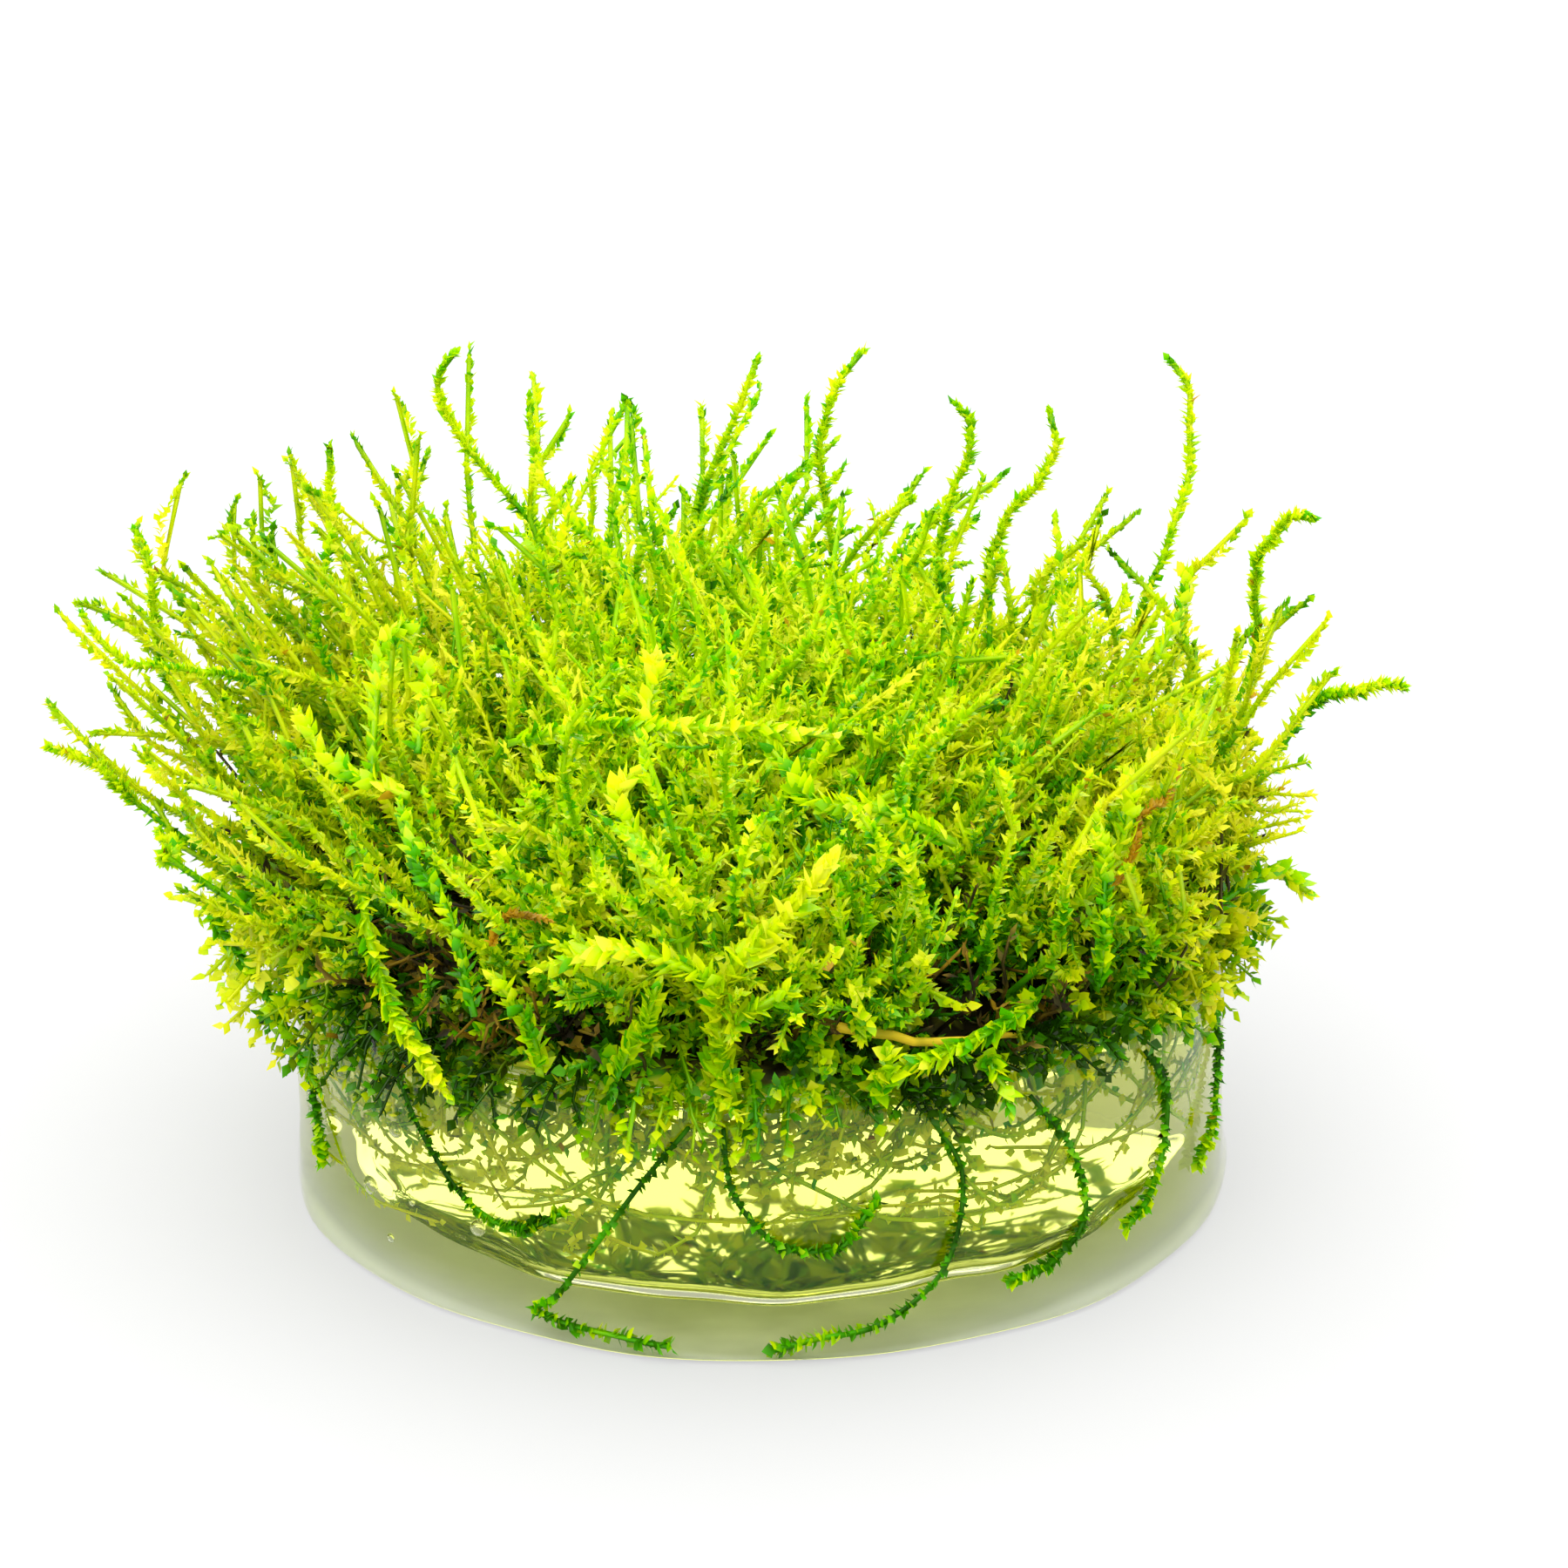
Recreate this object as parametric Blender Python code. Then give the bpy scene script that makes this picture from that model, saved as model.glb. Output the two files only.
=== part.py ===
"""Moss clump standing on its clear gel puck.

The origin is the centre of the puck's flat underside, +Z is up, +X is the clump's wide way and -Y its front.
Lengths in this file are millimetres, and turn to metres where an object is made.
"""

import math

import bmesh
import bpy
import numpy as np

MM = 0.001
FULL_TURN = 2 * math.pi
GAP = 0.35  # clearance between neighbours that touch

# Gel puck, cast in a round cup and pushed out of it
GEL_RADIUS = 34.6
GEL_HEIGHT = 20.0
GEL_DIP = 2.4  # how far the top is hollowed at its centre
GEL_EDGE = 1.4  # rounding of the top edge
GEL_WALL_HEIGHTS = (0.0, 0.8, 2.4, 10.0, GEL_HEIGHT - GEL_EDGE)
GEL_TOP_RADII = (GEL_RADIUS - 0.3 * GEL_EDGE, GEL_RADIUS - GEL_EDGE, 22.0)
FOOT_FLARE = 0.45  # how far the soft foot spreads past the wall
FOOT_HEIGHT = 1.6
FOOT_RAGGED = 0.25
FOOT_ROUNDING = 0.25
AROUND = 36  # segments of the puck and of the mat

# Mat of old growth on the gel
MAT_RADIUS = 33.2
MAT_EDGE = 1.4  # thickness at the rim
MAT_DOME = 2.8  # extra height at the centre
MAT_LUMPS = 0.45
MAT_TOP_SHARES = (0.94, 0.76, 0.52, 0.26)  # rings of the top, as shares of the radius
RIM_LOCKS = 34  # short locks that hang from the mat over the puck's edge
RIM_LOCK_PATH = ((30.6, 20.9), (33.2, 21.2), (35.3, 20.6), (36.3, 18.6))  # (radius, height), root to tip
RIM_LOCK_RADII = (0.8, 0.9, 0.7)

# Live moss: every shoot follows one flow that fans out from the mat
FOOT_CLEAR = 1.0  # tufts start this far above the mat's own surface
ROOT_RADIUS = 33.0
CENTRE_REACH = 23.0
LEAN_POWER = 0.85  # below 1, the lean starts close to the centre
RISE = 0.45  # share of its lean that a shoot loses on the way to its tip
SWAY = 1.7
SWAY_IN_X = (0.13, 0.21)  # radians per millimetre of y and of height
SWAY_IN_Y = (0.15, -0.19)  # radians per millimetre of x and of height
DIRECTIONS = {
    "right": 0,
    "back_right": 45,
    "back": 90,
    "back_left": 135,
    "left": 180,
    "front_left": 225,
    "front": 270,
    "front_right": 315,
}
RIM_LEAN_DEG = {
    "right": 26,
    "back_right": 36,
    "back": 44,
    "back_left": 60,
    "left": 66,
    "front_left": 64,
    "front": 40,
    "front_right": 40,
}
RIM_REACH = {
    "right": 23,
    "back_right": 19,
    "back": 21,
    "back_left": 26,
    "left": 21,
    "front_left": 20,
    "front": 21,
    "front_right": 19,
}
RIM_HANG = {
    "right": 3.2,
    "back_right": 2.0,
    "back": 1.0,
    "back_left": 2.0,
    "left": 3.5,
    "front_left": 2.5,
    "front": 0.8,
    "front_right": 2.2,
}  # how far the rim locks stand out past the puck

# Tufts stand in rings round a middle one: radius, how many, and the turn of the first in degrees
TUFT_RINGS = ((0.0, 1, 0.0), (9.4, 6, 12.0), (18.8, 12, 3.0), (28.2, 17, 8.0))
CELL_HALF = 4.7  # half a ring's radial width
TUFT_FILL = 0.92  # share of its cell that a tuft's foot takes
TUFT_SIDES = 6
TUFT_SQUARENESS = 4  # a tuft's section is a superellipse of this power
TUFT_LEVELS = ((0.0, 1.0), (0.3, 1.0), (0.62, 0.88), (0.88, 0.55))  # (share of the reach, width)
TUFT_TIP = 1.06
TUFT_ROUGHNESS = 0.1
SHOOTS_PER_TUFT = 4
SHOOT_START = 0.55  # share of the reach at which a shoot leaves its tuft's body
SHOOT_END = (1.14, 1.38)
SHOOT_AWAY_START = 0.3  # distance from the tuft's middle, as a share of its cell
SHOOT_AWAY_END = (0.55, 0.72)
SHOOT_RADIUS = 1.15
SHOOT_RINGS = 4
SHOOT_TAPER = 0.62
PINCH = 0.7  # a shoot's tiers of leaves swell and pinch in turn by this share
SIDES = 3  # sides of the thin shoots

# Long shoots stand between the tufts: foot (radius, azimuth in degrees), tip (x, y, z), direction at the tip
LONG_SHOOTS = (
    ((33.0, 188), (-51.0, -5.0, 34.5), (-1.0, 0.0, 0.05)),
    ((23.5, 188), (-48.0, -7.0, 46.0), (-0.3, 0.0, 1.0)),
    ((33.0, 166), (-47.0, 10.0, 45.5), (-0.5, 0.2, 1.0)),
    ((23.5, 167), (-32.0, 15.0, 51.5), (-0.3, 0.1, 1.0)),
    ((14.2, 129), (-22.5, 16.0, 57.5), (0.8, 0.1, 0.5)),
    ((4.8, 162), (-17.5, 10.0, 57.0), (0.1, 0.0, 1.0)),
    ((14.2, 99), (0.0, 18.0, 57.5), (0.3, 0.1, 1.0)),
    ((14.2, 68), (7.5, 20.0, 57.0), (1.0, 0.2, 0.5)),
    ((14.2, 39), (14.5, 15.0, 55.0), (-0.5, 0.0, 1.0)),
    ((23.4, 50), (22.5, 24.0, 51.0), (0.0, 0.2, 1.0)),
    ((23.4, 16), (30.0, 10.0, 59.0), (-0.8, 0.0, 0.7)),
    ((32.9, 19), (40.5, 5.0, 48.5), (0.9, 0.0, -0.4)),
    ((32.9, 355), (46.0, -4.0, 39.0), (1.0, 0.0, 0.3)),
    ((33.1, 204), (-42.5, -13.0, 30.5), (-0.7, -0.1, 0.7)),
)
LONG_EXIT = 0.7  # share of the flow that a long shoot follows before it goes its own way
LONG_LOW_POINTS = 4
LONG_FREE_POINTS = 9
LONG_PULL = 1.1
LONG_RADIUS = 0.9
LONG_FOOT_RADIUS = 0.4
LONG_TAPER = 0.7

# Runners lie on the puck's side: stops of (azimuth in degrees, height)
RUNNERS = (
    ((196, 18.0), (200, 15.0), (203, 10.0), (205, 6.5)),
    ((222, 18.0), (226, 14.0), (233, 9.5), (240, 8.0), (246, 10.0)),
    ((262, 18.0), (256, 13.0), (247, 5.0), (243, 2.2), (250, 1.4), (260, 1.3)),
    ((266, 18.0), (267, 13.0), (272, 9.0), (279, 8.5), (284, 12.0)),
    ((290, 18.0), (294, 13.0), (292, 6.5), (285, 2.8), (277, 2.0), (272, 1.2)),
    ((303, 18.0), (309, 13.0), (312, 7.5), (307, 4.5), (300, 3.8)),
    ((322, 18.0), (327, 14.0), (325, 8.0), (318, 5.0)),
    ((340, 18.0), (343, 14.0), (341, 9.0), (336, 5.5)),
)
RUNNER_RADIUS = 0.55
RUNNER_TAPER = 0.6
RUNNER_POINTS = 10
RUNNER_SIDES = 4

SEED = 7


def clear_scene():
    for obj in list(bpy.data.objects):
        bpy.data.objects.remove(obj, do_unlink=True)


def material(name, hex_colour, roughness):
    """A Principled material whose colour is given as sRGB hex."""
    made = bpy.data.materials.new(name)
    made.use_nodes = True
    shader = made.node_tree.nodes["Principled BSDF"]
    srgb = np.array([int(hex_colour[i : i + 2], 16) / 255 for i in (0, 2, 4)])
    linear = np.where(srgb <= 0.04045, srgb / 12.92, ((srgb + 0.055) / 1.055) ** 2.4)
    shader.inputs["Base Color"].default_value = (*linear, 1.0)
    shader.inputs["Roughness"].default_value = roughness
    shader.inputs["Metallic"].default_value = 0.0
    made.diffuse_color = (*linear, 1.0)
    return made


def add_object(name, points, faces, anchor, look, parent):
    """One mesh object with its origin at anchor. Points and anchor are millimetres in the part's frame."""
    mesh = bpy.data.meshes.new(name)
    anchor = np.asarray(anchor, float)
    mesh.from_pydata(((np.asarray(points) - anchor) * MM).tolist(), [], faces)
    shape = bmesh.new()
    shape.from_mesh(mesh)
    bmesh.ops.recalc_face_normals(shape, faces=shape.faces)
    shape.to_mesh(mesh)
    shape.free()
    mesh.shade_smooth()
    mesh.materials.append(look)
    obj = bpy.data.objects.new(name, mesh)
    bpy.context.scene.collection.objects.link(obj)
    obj.location = anchor * MM
    obj.parent = parent
    return obj


def fuse(base, others):
    """Joins the others to base with exact Boolean unions, and removes them."""
    for other in others:
        join = base.modifiers.new("join_" + other.name, "BOOLEAN")
        join.operation = "UNION"
        join.solver = "EXACT"
        join.object = other
    bpy.context.view_layer.update()
    graph = bpy.context.evaluated_depsgraph_get()
    fused = bpy.data.meshes.new_from_object(base.evaluated_get(graph))
    base.modifiers.clear()
    base.data = fused
    for other in others:
        bpy.data.objects.remove(other, do_unlink=True)


def pointed_skin(rings, tip):
    """Points and faces of a closed skin: a cap at the foot, bands between the rings, and a fan to the tip."""
    count, sides = rings.shape[:2]
    points = np.vstack([rings.reshape(-1, 3), tip])
    faces = [tuple(range(sides))[::-1]]
    for row in range(count - 1):
        for k in range(sides):
            here, there = row * sides + k, row * sides + (k + 1) % sides
            faces.append((here, there, there + sides, here + sides))
    last = (count - 1) * sides
    faces += [(last + k, last + (k + 1) % sides, count * sides) for k in range(sides)]
    return points, faces


def shoot_skin(path, radii, sides):
    """A tube along path that ends in a point. Each ring is square to the path, turned by one reference axis."""
    along = np.gradient(path, axis=0)[:-1]
    along /= np.linalg.norm(along, axis=1, keepdims=True)
    reference = np.eye(3)[int(np.argmin(np.abs(path[-1] - path[0])))]
    side = np.cross(along, reference)
    side /= np.linalg.norm(side, axis=1, keepdims=True)
    other = np.cross(along, side)
    angle = (np.arange(sides) * FULL_TURN / sides)[None, :, None]
    offsets = side[:, None] * np.cos(angle) + other[:, None] * np.sin(angle)
    return pointed_skin(path[:-1, None] + offsets * np.asarray(radii)[:, None, None], path[-1])


def tiers(count):
    """Shares that swell and pinch in turn, for the tiers of leaves on a shoot."""
    return np.where(np.arange(count) % 2, PINCH, 1.0)


def by_direction(table, azimuth):
    """A value that varies smoothly round the clump: a named direction weighs cos² of twice its distance."""
    total = 0.0
    for name, degrees in DIRECTIONS.items():
        away = (azimuth - math.radians(degrees) + math.pi) % FULL_TURN - math.pi
        weight = np.where(np.abs(away) < math.pi / 4, np.cos(2 * away) ** 2, 0.0)
        total = total + weight * table[name]
    return total


def gel_top(radius):
    """Height of the gel's hollowed top: a shallow bowl."""
    return GEL_HEIGHT - 0.3 * GEL_EDGE - GEL_DIP * (1 - (radius / GEL_RADIUS) ** 2)


def gel_wall(azimuth, height):
    """Radius of the puck's side: straight, with a soft foot that spreads unevenly."""
    ragged = FOOT_RAGGED * (np.sin(7 * azimuth + 1) + 0.7 * np.sin(13 * azimuth)) / 1.7
    return GEL_RADIUS + (FOOT_FLARE + ragged) * np.exp(-((height / FOOT_HEIGHT) ** 2))


def mat_top(radius, azimuth):
    """Height of the old growth's top: a low dome with lumps."""
    x, y = radius * np.cos(azimuth), radius * np.sin(azimuth)
    lumps = MAT_LUMPS * (np.sin(0.31 * x + 1.0) * np.cos(0.36 * y) + 0.6 * np.sin(0.5 * y + 0.33 * x))
    return GEL_HEIGHT + MAT_EDGE + MAT_DOME * (1 - (radius / MAT_RADIUS) ** 2) + lumps


def flow_point(radius, azimuth, s):
    """Where the shoot rooted at radius and azimuth is after share s of its reach.

    It is an arc of a circle in the upright plane through the root and the clump's axis. The chord after share s
    points along the mean of its first and present leans, and its length is reach * s * sinc of half the turn.
    The lean grows with the root's radius, so shoots fan out and never cross. A slow sway is added, more towards
    the tips.
    """
    share = np.minimum(radius / ROOT_RADIUS, 1.1)
    lean = np.radians(by_direction(RIM_LEAN_DEG, azimuth)) * share**LEAN_POWER
    reach = CENTRE_REACH * (1 - share**2) + by_direction(RIM_REACH, azimuth) * share**2
    turn = -RISE * lean * s
    chord = reach * s * np.sinc(turn / FULL_TURN)
    out = radius + chord * np.sin(lean + turn / 2)
    up = mat_top(radius, azimuth) + FOOT_CLEAR + chord * np.cos(lean + turn / 2)
    x, y = out * np.cos(azimuth), out * np.sin(azimuth)
    sway_x = SWAY * s * np.sin(SWAY_IN_X[0] * y + SWAY_IN_X[1] * up)
    sway_y = SWAY * s * np.sin(SWAY_IN_Y[0] * x + SWAY_IN_Y[1] * up + 1.0)
    return np.stack([x + sway_x, y + sway_y, up], axis=-1)


def cell_root(ring, index, across, along):
    """Root radius and azimuth of a place in a tuft's cell; across and along run from -1 to 1 over the cell."""
    radius, count, turn = TUFT_RINGS[ring]
    if count == 1:
        return CELL_HALF * np.hypot(across, along), np.arctan2(along, across)
    middle = math.radians(turn) + index * FULL_TURN / count
    return radius + CELL_HALF * across, middle + math.pi / count * along


def tuft_body(ring, index, rng):
    """The leafy body of one tuft: its cell carried up the flow, full at the foot and closing to a point."""
    angle = np.arange(TUFT_SIDES) * FULL_TURN / TUFT_SIDES + rng.uniform(0, 1)
    across, along = np.cos(angle), np.sin(angle)
    size = (np.abs(across) ** TUFT_SQUARENESS + np.abs(along) ** TUFT_SQUARENESS) ** (-1 / TUFT_SQUARENESS)
    stretch = rng.uniform(0.9, 1.08)
    rings = []
    for level, width in TUFT_LEVELS:
        here = size * TUFT_FILL * width * rng.uniform(1 - TUFT_ROUGHNESS, 1, TUFT_SIDES)
        radius, azimuth = cell_root(ring, index, here * across, here * along)
        rings.append(flow_point(radius, azimuth, level * stretch))
    radius, azimuth = cell_root(ring, index, 0.0, 0.0)
    return pointed_skin(np.array(rings), flow_point(radius, azimuth, TUFT_TIP * stretch))


def tuft_shoot(ring, index, direction, rng):
    """One shoot that leaves a tuft's body and stands out past it, swelling at its tiers of leaves."""
    s = np.linspace(SHOOT_START, rng.uniform(*SHOOT_END), SHOOT_RINGS + 1)
    away = np.linspace(SHOOT_AWAY_START, rng.uniform(*SHOOT_AWAY_END), SHOOT_RINGS + 1)
    radius, azimuth = cell_root(ring, index, away * math.cos(direction), away * math.sin(direction))
    radii = SHOOT_RADIUS * tiers(SHOOT_RINGS) * np.linspace(1.0, SHOOT_TAPER, SHOOT_RINGS)
    return shoot_skin(flow_point(radius, azimuth, s), radii, SIDES)


def make_tufts(look, parent):
    rng = np.random.default_rng(SEED)
    number = 0
    for ring, (_, count, _) in enumerate(TUFT_RINGS):
        for index in range(count):
            number += 1
            name = f"moss_tuft_{number:02d}"
            anchor = flow_point(*cell_root(ring, index, 0.0, 0.0), 0.0)
            body = add_object(name, *tuft_body(ring, index, rng), anchor, look, parent)
            first = rng.uniform(0, FULL_TURN)
            shoots = []
            for k in range(SHOOTS_PER_TUFT):
                points, faces = tuft_shoot(ring, index, first + k * FULL_TURN / SHOOTS_PER_TUFT, rng)
                shoots.append(add_object(f"{name}_shoot_{k}", points, faces, anchor, look, parent))
            fuse(body, shoots)


def long_path(foot, tip, tip_direction):
    """Up the flow for its first part, then a cubic curve that leaves along it and ends along tip_direction."""
    radius, azimuth = foot[0], math.radians(foot[1])
    low = flow_point(radius, azimuth, LONG_EXIT * np.linspace(0, 1, LONG_LOW_POINTS))
    start, tip = low[-1], np.array(tip)
    leaving = start - flow_point(radius, azimuth, LONG_EXIT - 0.02)
    leaving /= np.linalg.norm(leaving)
    arriving = np.array(tip_direction) / np.linalg.norm(tip_direction)
    pull = LONG_PULL * np.linalg.norm(tip - start)
    t = np.linspace(0, 1, LONG_FREE_POINTS + 1)[1:, None]
    free = (
        (2 * t**3 - 3 * t**2 + 1) * start
        + (t**3 - 2 * t**2 + t) * pull * leaving
        + (3 * t**2 - 2 * t**3) * tip
        + (t**3 - t**2) * pull * arriving
    )
    return np.vstack([low, free])


def make_long_shoots(look, parent):
    """Single shoots: thin where they pass between the tufts, then leafy with swelling tiers, then pointed."""
    for number, (foot, tip, tip_direction) in enumerate(LONG_SHOOTS, 1):
        path = long_path(foot, tip, tip_direction)
        radii = LONG_RADIUS * tiers(len(path) - 1) * np.linspace(1.0, LONG_TAPER, len(path) - 1)
        radii[:LONG_LOW_POINTS] = np.linspace(LONG_FOOT_RADIUS, PINCH * LONG_RADIUS, LONG_LOW_POINTS)
        points, faces = shoot_skin(path, radii, SIDES)
        add_object(f"long_shoot_{number:02d}", points, faces, path[0], look, parent)


def smooth_stops(stops, count):
    """Points on a Catmull-Rom curve through the stops, evenly spread over its parameter."""
    stops = np.array(stops)
    padded = np.vstack([2 * stops[0] - stops[1], stops, 2 * stops[-1] - stops[-2]])
    where = np.linspace(0, len(stops) - 1 - 1e-9, count)
    k, t = where.astype(int), (where % 1)[:, None]
    a, b, c, d = (padded[k + i] for i in range(4))
    return 0.5 * (2 * b + (c - a) * t + (2 * a - 5 * b + 4 * c - d) * t**2 + (3 * b - a - 3 * c + d) * t**3)


def make_runners(look, parent):
    """Leafless runners laid on the puck's side, each a thin tube that tapers to its growing end."""
    for number, stops in enumerate(RUNNERS, 1):
        places = smooth_stops(stops, RUNNER_POINTS)
        azimuth, height = np.radians(places[:, 0]), places[:, 1]
        radius = gel_wall(azimuth, height) + GAP + 2 * RUNNER_RADIUS
        path = np.stack([radius * np.cos(azimuth), radius * np.sin(azimuth), height], axis=-1)
        radii = RUNNER_RADIUS * np.linspace(1.0, RUNNER_TAPER, RUNNER_POINTS - 1)
        points, faces = shoot_skin(path, radii, RUNNER_SIDES)
        add_object(f"runner_{number:02d}", points, faces, path[0], look, parent)


def lathe(radii, heights, centre_low, centre_high):
    """A closed turned shape: rings from the underside's rim up and over to the top, and a fan at each end."""
    rows = len(radii)
    azimuth = np.arange(AROUND) * FULL_TURN / AROUND
    radii, heights = np.array(radii), np.array(heights)
    rings = np.stack([radii * np.cos(azimuth), radii * np.sin(azimuth), heights], axis=-1)
    points = np.vstack([rings.reshape(-1, 3), [0, 0, centre_low], [0, 0, centre_high]])
    low, high = rows * AROUND, rows * AROUND + 1
    faces = []
    for k in range(AROUND):
        after = (k + 1) % AROUND
        faces.append((low, after, k))
        faces.append((high, (rows - 1) * AROUND + k, (rows - 1) * AROUND + after))
        for start in range(0, (rows - 1) * AROUND, AROUND):
            faces.append((start + k, start + after, start + AROUND + after, start + AROUND + k))
    return points, faces


def make_gel(look, parent):
    """The puck: flat underside, soft ragged foot, straight side, rounded top edge and a hollowed top."""
    azimuth = np.arange(AROUND) * FULL_TURN / AROUND
    everywhere = np.ones(AROUND)
    radii, heights = [], []
    for height in GEL_WALL_HEIGHTS:
        radii.append(gel_wall(azimuth, height) - (FOOT_ROUNDING if height == 0 else 0))
        heights.append(height * everywhere)
    for radius in GEL_TOP_RADII:
        radii.append(radius * everywhere)
        heights.append(gel_top(radius) * everywhere)
    points, faces = lathe(radii, heights, 0.0, gel_top(0.0))
    add_object("gel_puck", points, faces, (0, 0, 0), look, parent)


def rim_lock(start, rng):
    """One lock that leaves the mat's rim at azimuth start and hangs over the puck's edge."""
    radius, height = np.array(RIM_LOCK_PATH).T
    radius = radius + by_direction(RIM_HANG, start) * np.array([0, 0, 0.5, 1])
    height = height + rng.uniform(-0.6, 1.2) * np.array([0, 0, 0, 1])
    azimuth = start + rng.uniform(-0.05, 0.05) * np.arange(len(radius))
    path = np.stack([radius * np.cos(azimuth), radius * np.sin(azimuth), height], axis=-1)
    return shoot_skin(path, RIM_LOCK_RADII, SIDES)


def make_mat(look, parent):
    """The mat: its underside follows the gel, its top is a lumpy dome, and locks hang from its rim."""
    azimuth = np.arange(AROUND) * FULL_TURN / AROUND
    everywhere = np.ones(AROUND)
    edge = MAT_RADIUS * (1 + 0.012 * np.sin(5 * azimuth + 2) + 0.008 * np.sin(11 * azimuth))
    inner = GEL_TOP_RADII[-1]
    radii = [inner * everywhere, edge - 0.6, edge]
    heights = [(gel_top(inner) + GAP) * everywhere, gel_top(edge - 0.6) + GAP, gel_top(edge) + 0.9]
    for share in MAT_TOP_SHARES:
        radii.append(edge * share)
        heights.append(mat_top(edge * share, azimuth))
    points, faces = lathe(radii, heights, gel_top(0.0) + GAP, mat_top(0.0, 0.0))
    mat = add_object("old_growth_mat", points, faces, (0, 0, GEL_HEIGHT), look, parent)
    rng = np.random.default_rng(SEED)
    locks = []
    for k in range(RIM_LOCKS):
        points, faces = rim_lock((k + rng.uniform(-0.25, 0.25)) * FULL_TURN / RIM_LOCKS, rng)
        locks.append(add_object(f"rim_lock_{k}", points, faces, points[0], look, parent))
    fuse(mat, locks)


def main():
    clear_scene()
    clump = bpy.data.objects.new("moss_clump", None)
    bpy.context.scene.collection.objects.link(clump)
    make_gel(material("clear_gel", "DDE3B4", 0.08), clump)
    make_mat(material("old_growth", "4A3F1C", 0.8), clump)
    make_tufts(material("moss_leaf", "8DBB1E", 0.5), clump)
    make_long_shoots(material("young_shoot", "A6CC2B", 0.5), clump)
    make_runners(material("runner_stem", "5E8A1C", 0.45), clump)


main()
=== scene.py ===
"""Looks of a clump of aquatic moss on its clear gel puck, laid out as a Blender add-on.

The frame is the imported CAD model: its origin is the centre of the puck's flat underside, +Z is up and -Y is
the clump's front. Shape functions work in millimetres, and lengths turn to metres where a mesh is made. The
flow, the tufts' cells, the long shoots and the runners repeat the CAD source, so each leafy shoot grows where
its solid is. An azimuth is measured from the right, round by the back.
"""

import math

import bpy
import numpy as np
from bpy.props import FloatProperty, FloatVectorProperty, IntProperty, PointerProperty
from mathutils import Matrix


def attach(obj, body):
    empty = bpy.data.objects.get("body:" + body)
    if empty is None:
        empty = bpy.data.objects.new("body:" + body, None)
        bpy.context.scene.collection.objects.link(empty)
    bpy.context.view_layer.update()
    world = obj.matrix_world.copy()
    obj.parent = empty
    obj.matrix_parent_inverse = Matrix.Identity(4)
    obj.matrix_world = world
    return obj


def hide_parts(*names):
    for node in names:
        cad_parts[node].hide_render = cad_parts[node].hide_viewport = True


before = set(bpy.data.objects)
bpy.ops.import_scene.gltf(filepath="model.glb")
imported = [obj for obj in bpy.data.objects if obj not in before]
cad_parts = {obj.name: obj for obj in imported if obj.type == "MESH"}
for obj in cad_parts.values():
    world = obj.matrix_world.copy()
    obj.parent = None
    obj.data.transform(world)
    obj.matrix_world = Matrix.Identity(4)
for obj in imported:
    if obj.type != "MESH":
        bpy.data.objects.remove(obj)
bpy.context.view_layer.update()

bl_info = {
    "name": "Moss clump looks",
    "version": (1, 0, 0),
    "blender": (4, 5, 0),
    "location": "3D View > Sidebar > Moss",
    "description": "Leafy shoots, old growth, runners and the gel puck of a moss clump",
    "category": "Object",
}

MM = 0.001
FULL_TURN = 2 * math.pi
WHITE = (1.0, 1.0, 1.0, 1.0)
SEED = 7  # the CAD source's own seed, so that the lead shoots follow its spikes

# Gel puck, as in the CAD source
GEL_RADIUS = 34.6
GEL_HEIGHT = 20.0
GEL_DIP = 2.4
GEL_EDGE = 1.4
FOOT_FLARE = 0.45
FOOT_HEIGHT = 1.6
FOOT_RAGGED = 0.25
GAP = 0.35

# Rows of the puck's surface, from the middle of its underside out, up its side and in over its top
POCKET_RADIUS = 21.2  # of the air pocket under the middle
POCKET_HEIGHT = 0.5
POCKET_SHARES = (0.2, 0.4, 0.6, 0.8, 0.93)  # of the pocket's radius
POCKET_STEPS = ((0.0, 0.46), (0.35, 0.3), (0.55, 0.08), (0.9, 0.0))  # (distance past its radius, height)
CONTACT_RADII = (24.0, 28.0, 32.0, 33.6)
FOOT_TUCK = 0.25  # the underside ends this far inside the foot
WALL_HEIGHTS = (0.25, 0.8, 1.5, 2.4, 3.6, 5.0, 6.6, 8.4, 10.2, 12.0, 14.0, 16.0, 17.6, GEL_HEIGHT - GEL_EDGE)
EDGE_TURNS_DEG = (22, 45, 68)
TOP_RADII = (33.0, 30.0, 26.0, 22.0, 17.0, 11.0, 5.0)
TOP_SINK = 0.15  # the top's rows lie this much lower than in the CAD source, clear of the mat

# Air bubbles near the puck's side: ranges of radius and height, and how far out their outer ends lie
BUBBLE_SIZES = (0.18, 0.75)
BUBBLE_HEIGHTS = (1.5, 15.0)
BUBBLES_OUT = 33.2

# Mat of old growth, as in the CAD source
MAT_RADIUS = 33.2
MAT_EDGE = 1.4
MAT_DOME = 2.8
MAT_LUMPS = 0.45
RIM_LOCKS = 34
RIM_LOCK_PATH = ((30.6, 20.9), (33.2, 21.2), (35.3, 20.6), (36.3, 18.6))  # (radius, height), root to tip

# Rows of the mat's surface, as shares of its ragged edge's radius
MAT_UNDER_SHARES = (0.25, 0.5, 0.75, 0.9, 0.98)
MAT_EDGE_CLEAR = 0.9  # height of the edge's row over the gel
MAT_TOP_SHARES = (0.985, 0.96, 0.92, 0.87, 0.8, 0.72, 0.62, 0.5, 0.36, 0.2)
OLD_STALKS = 620
OLD_STALK_SINK = 1.2

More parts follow.
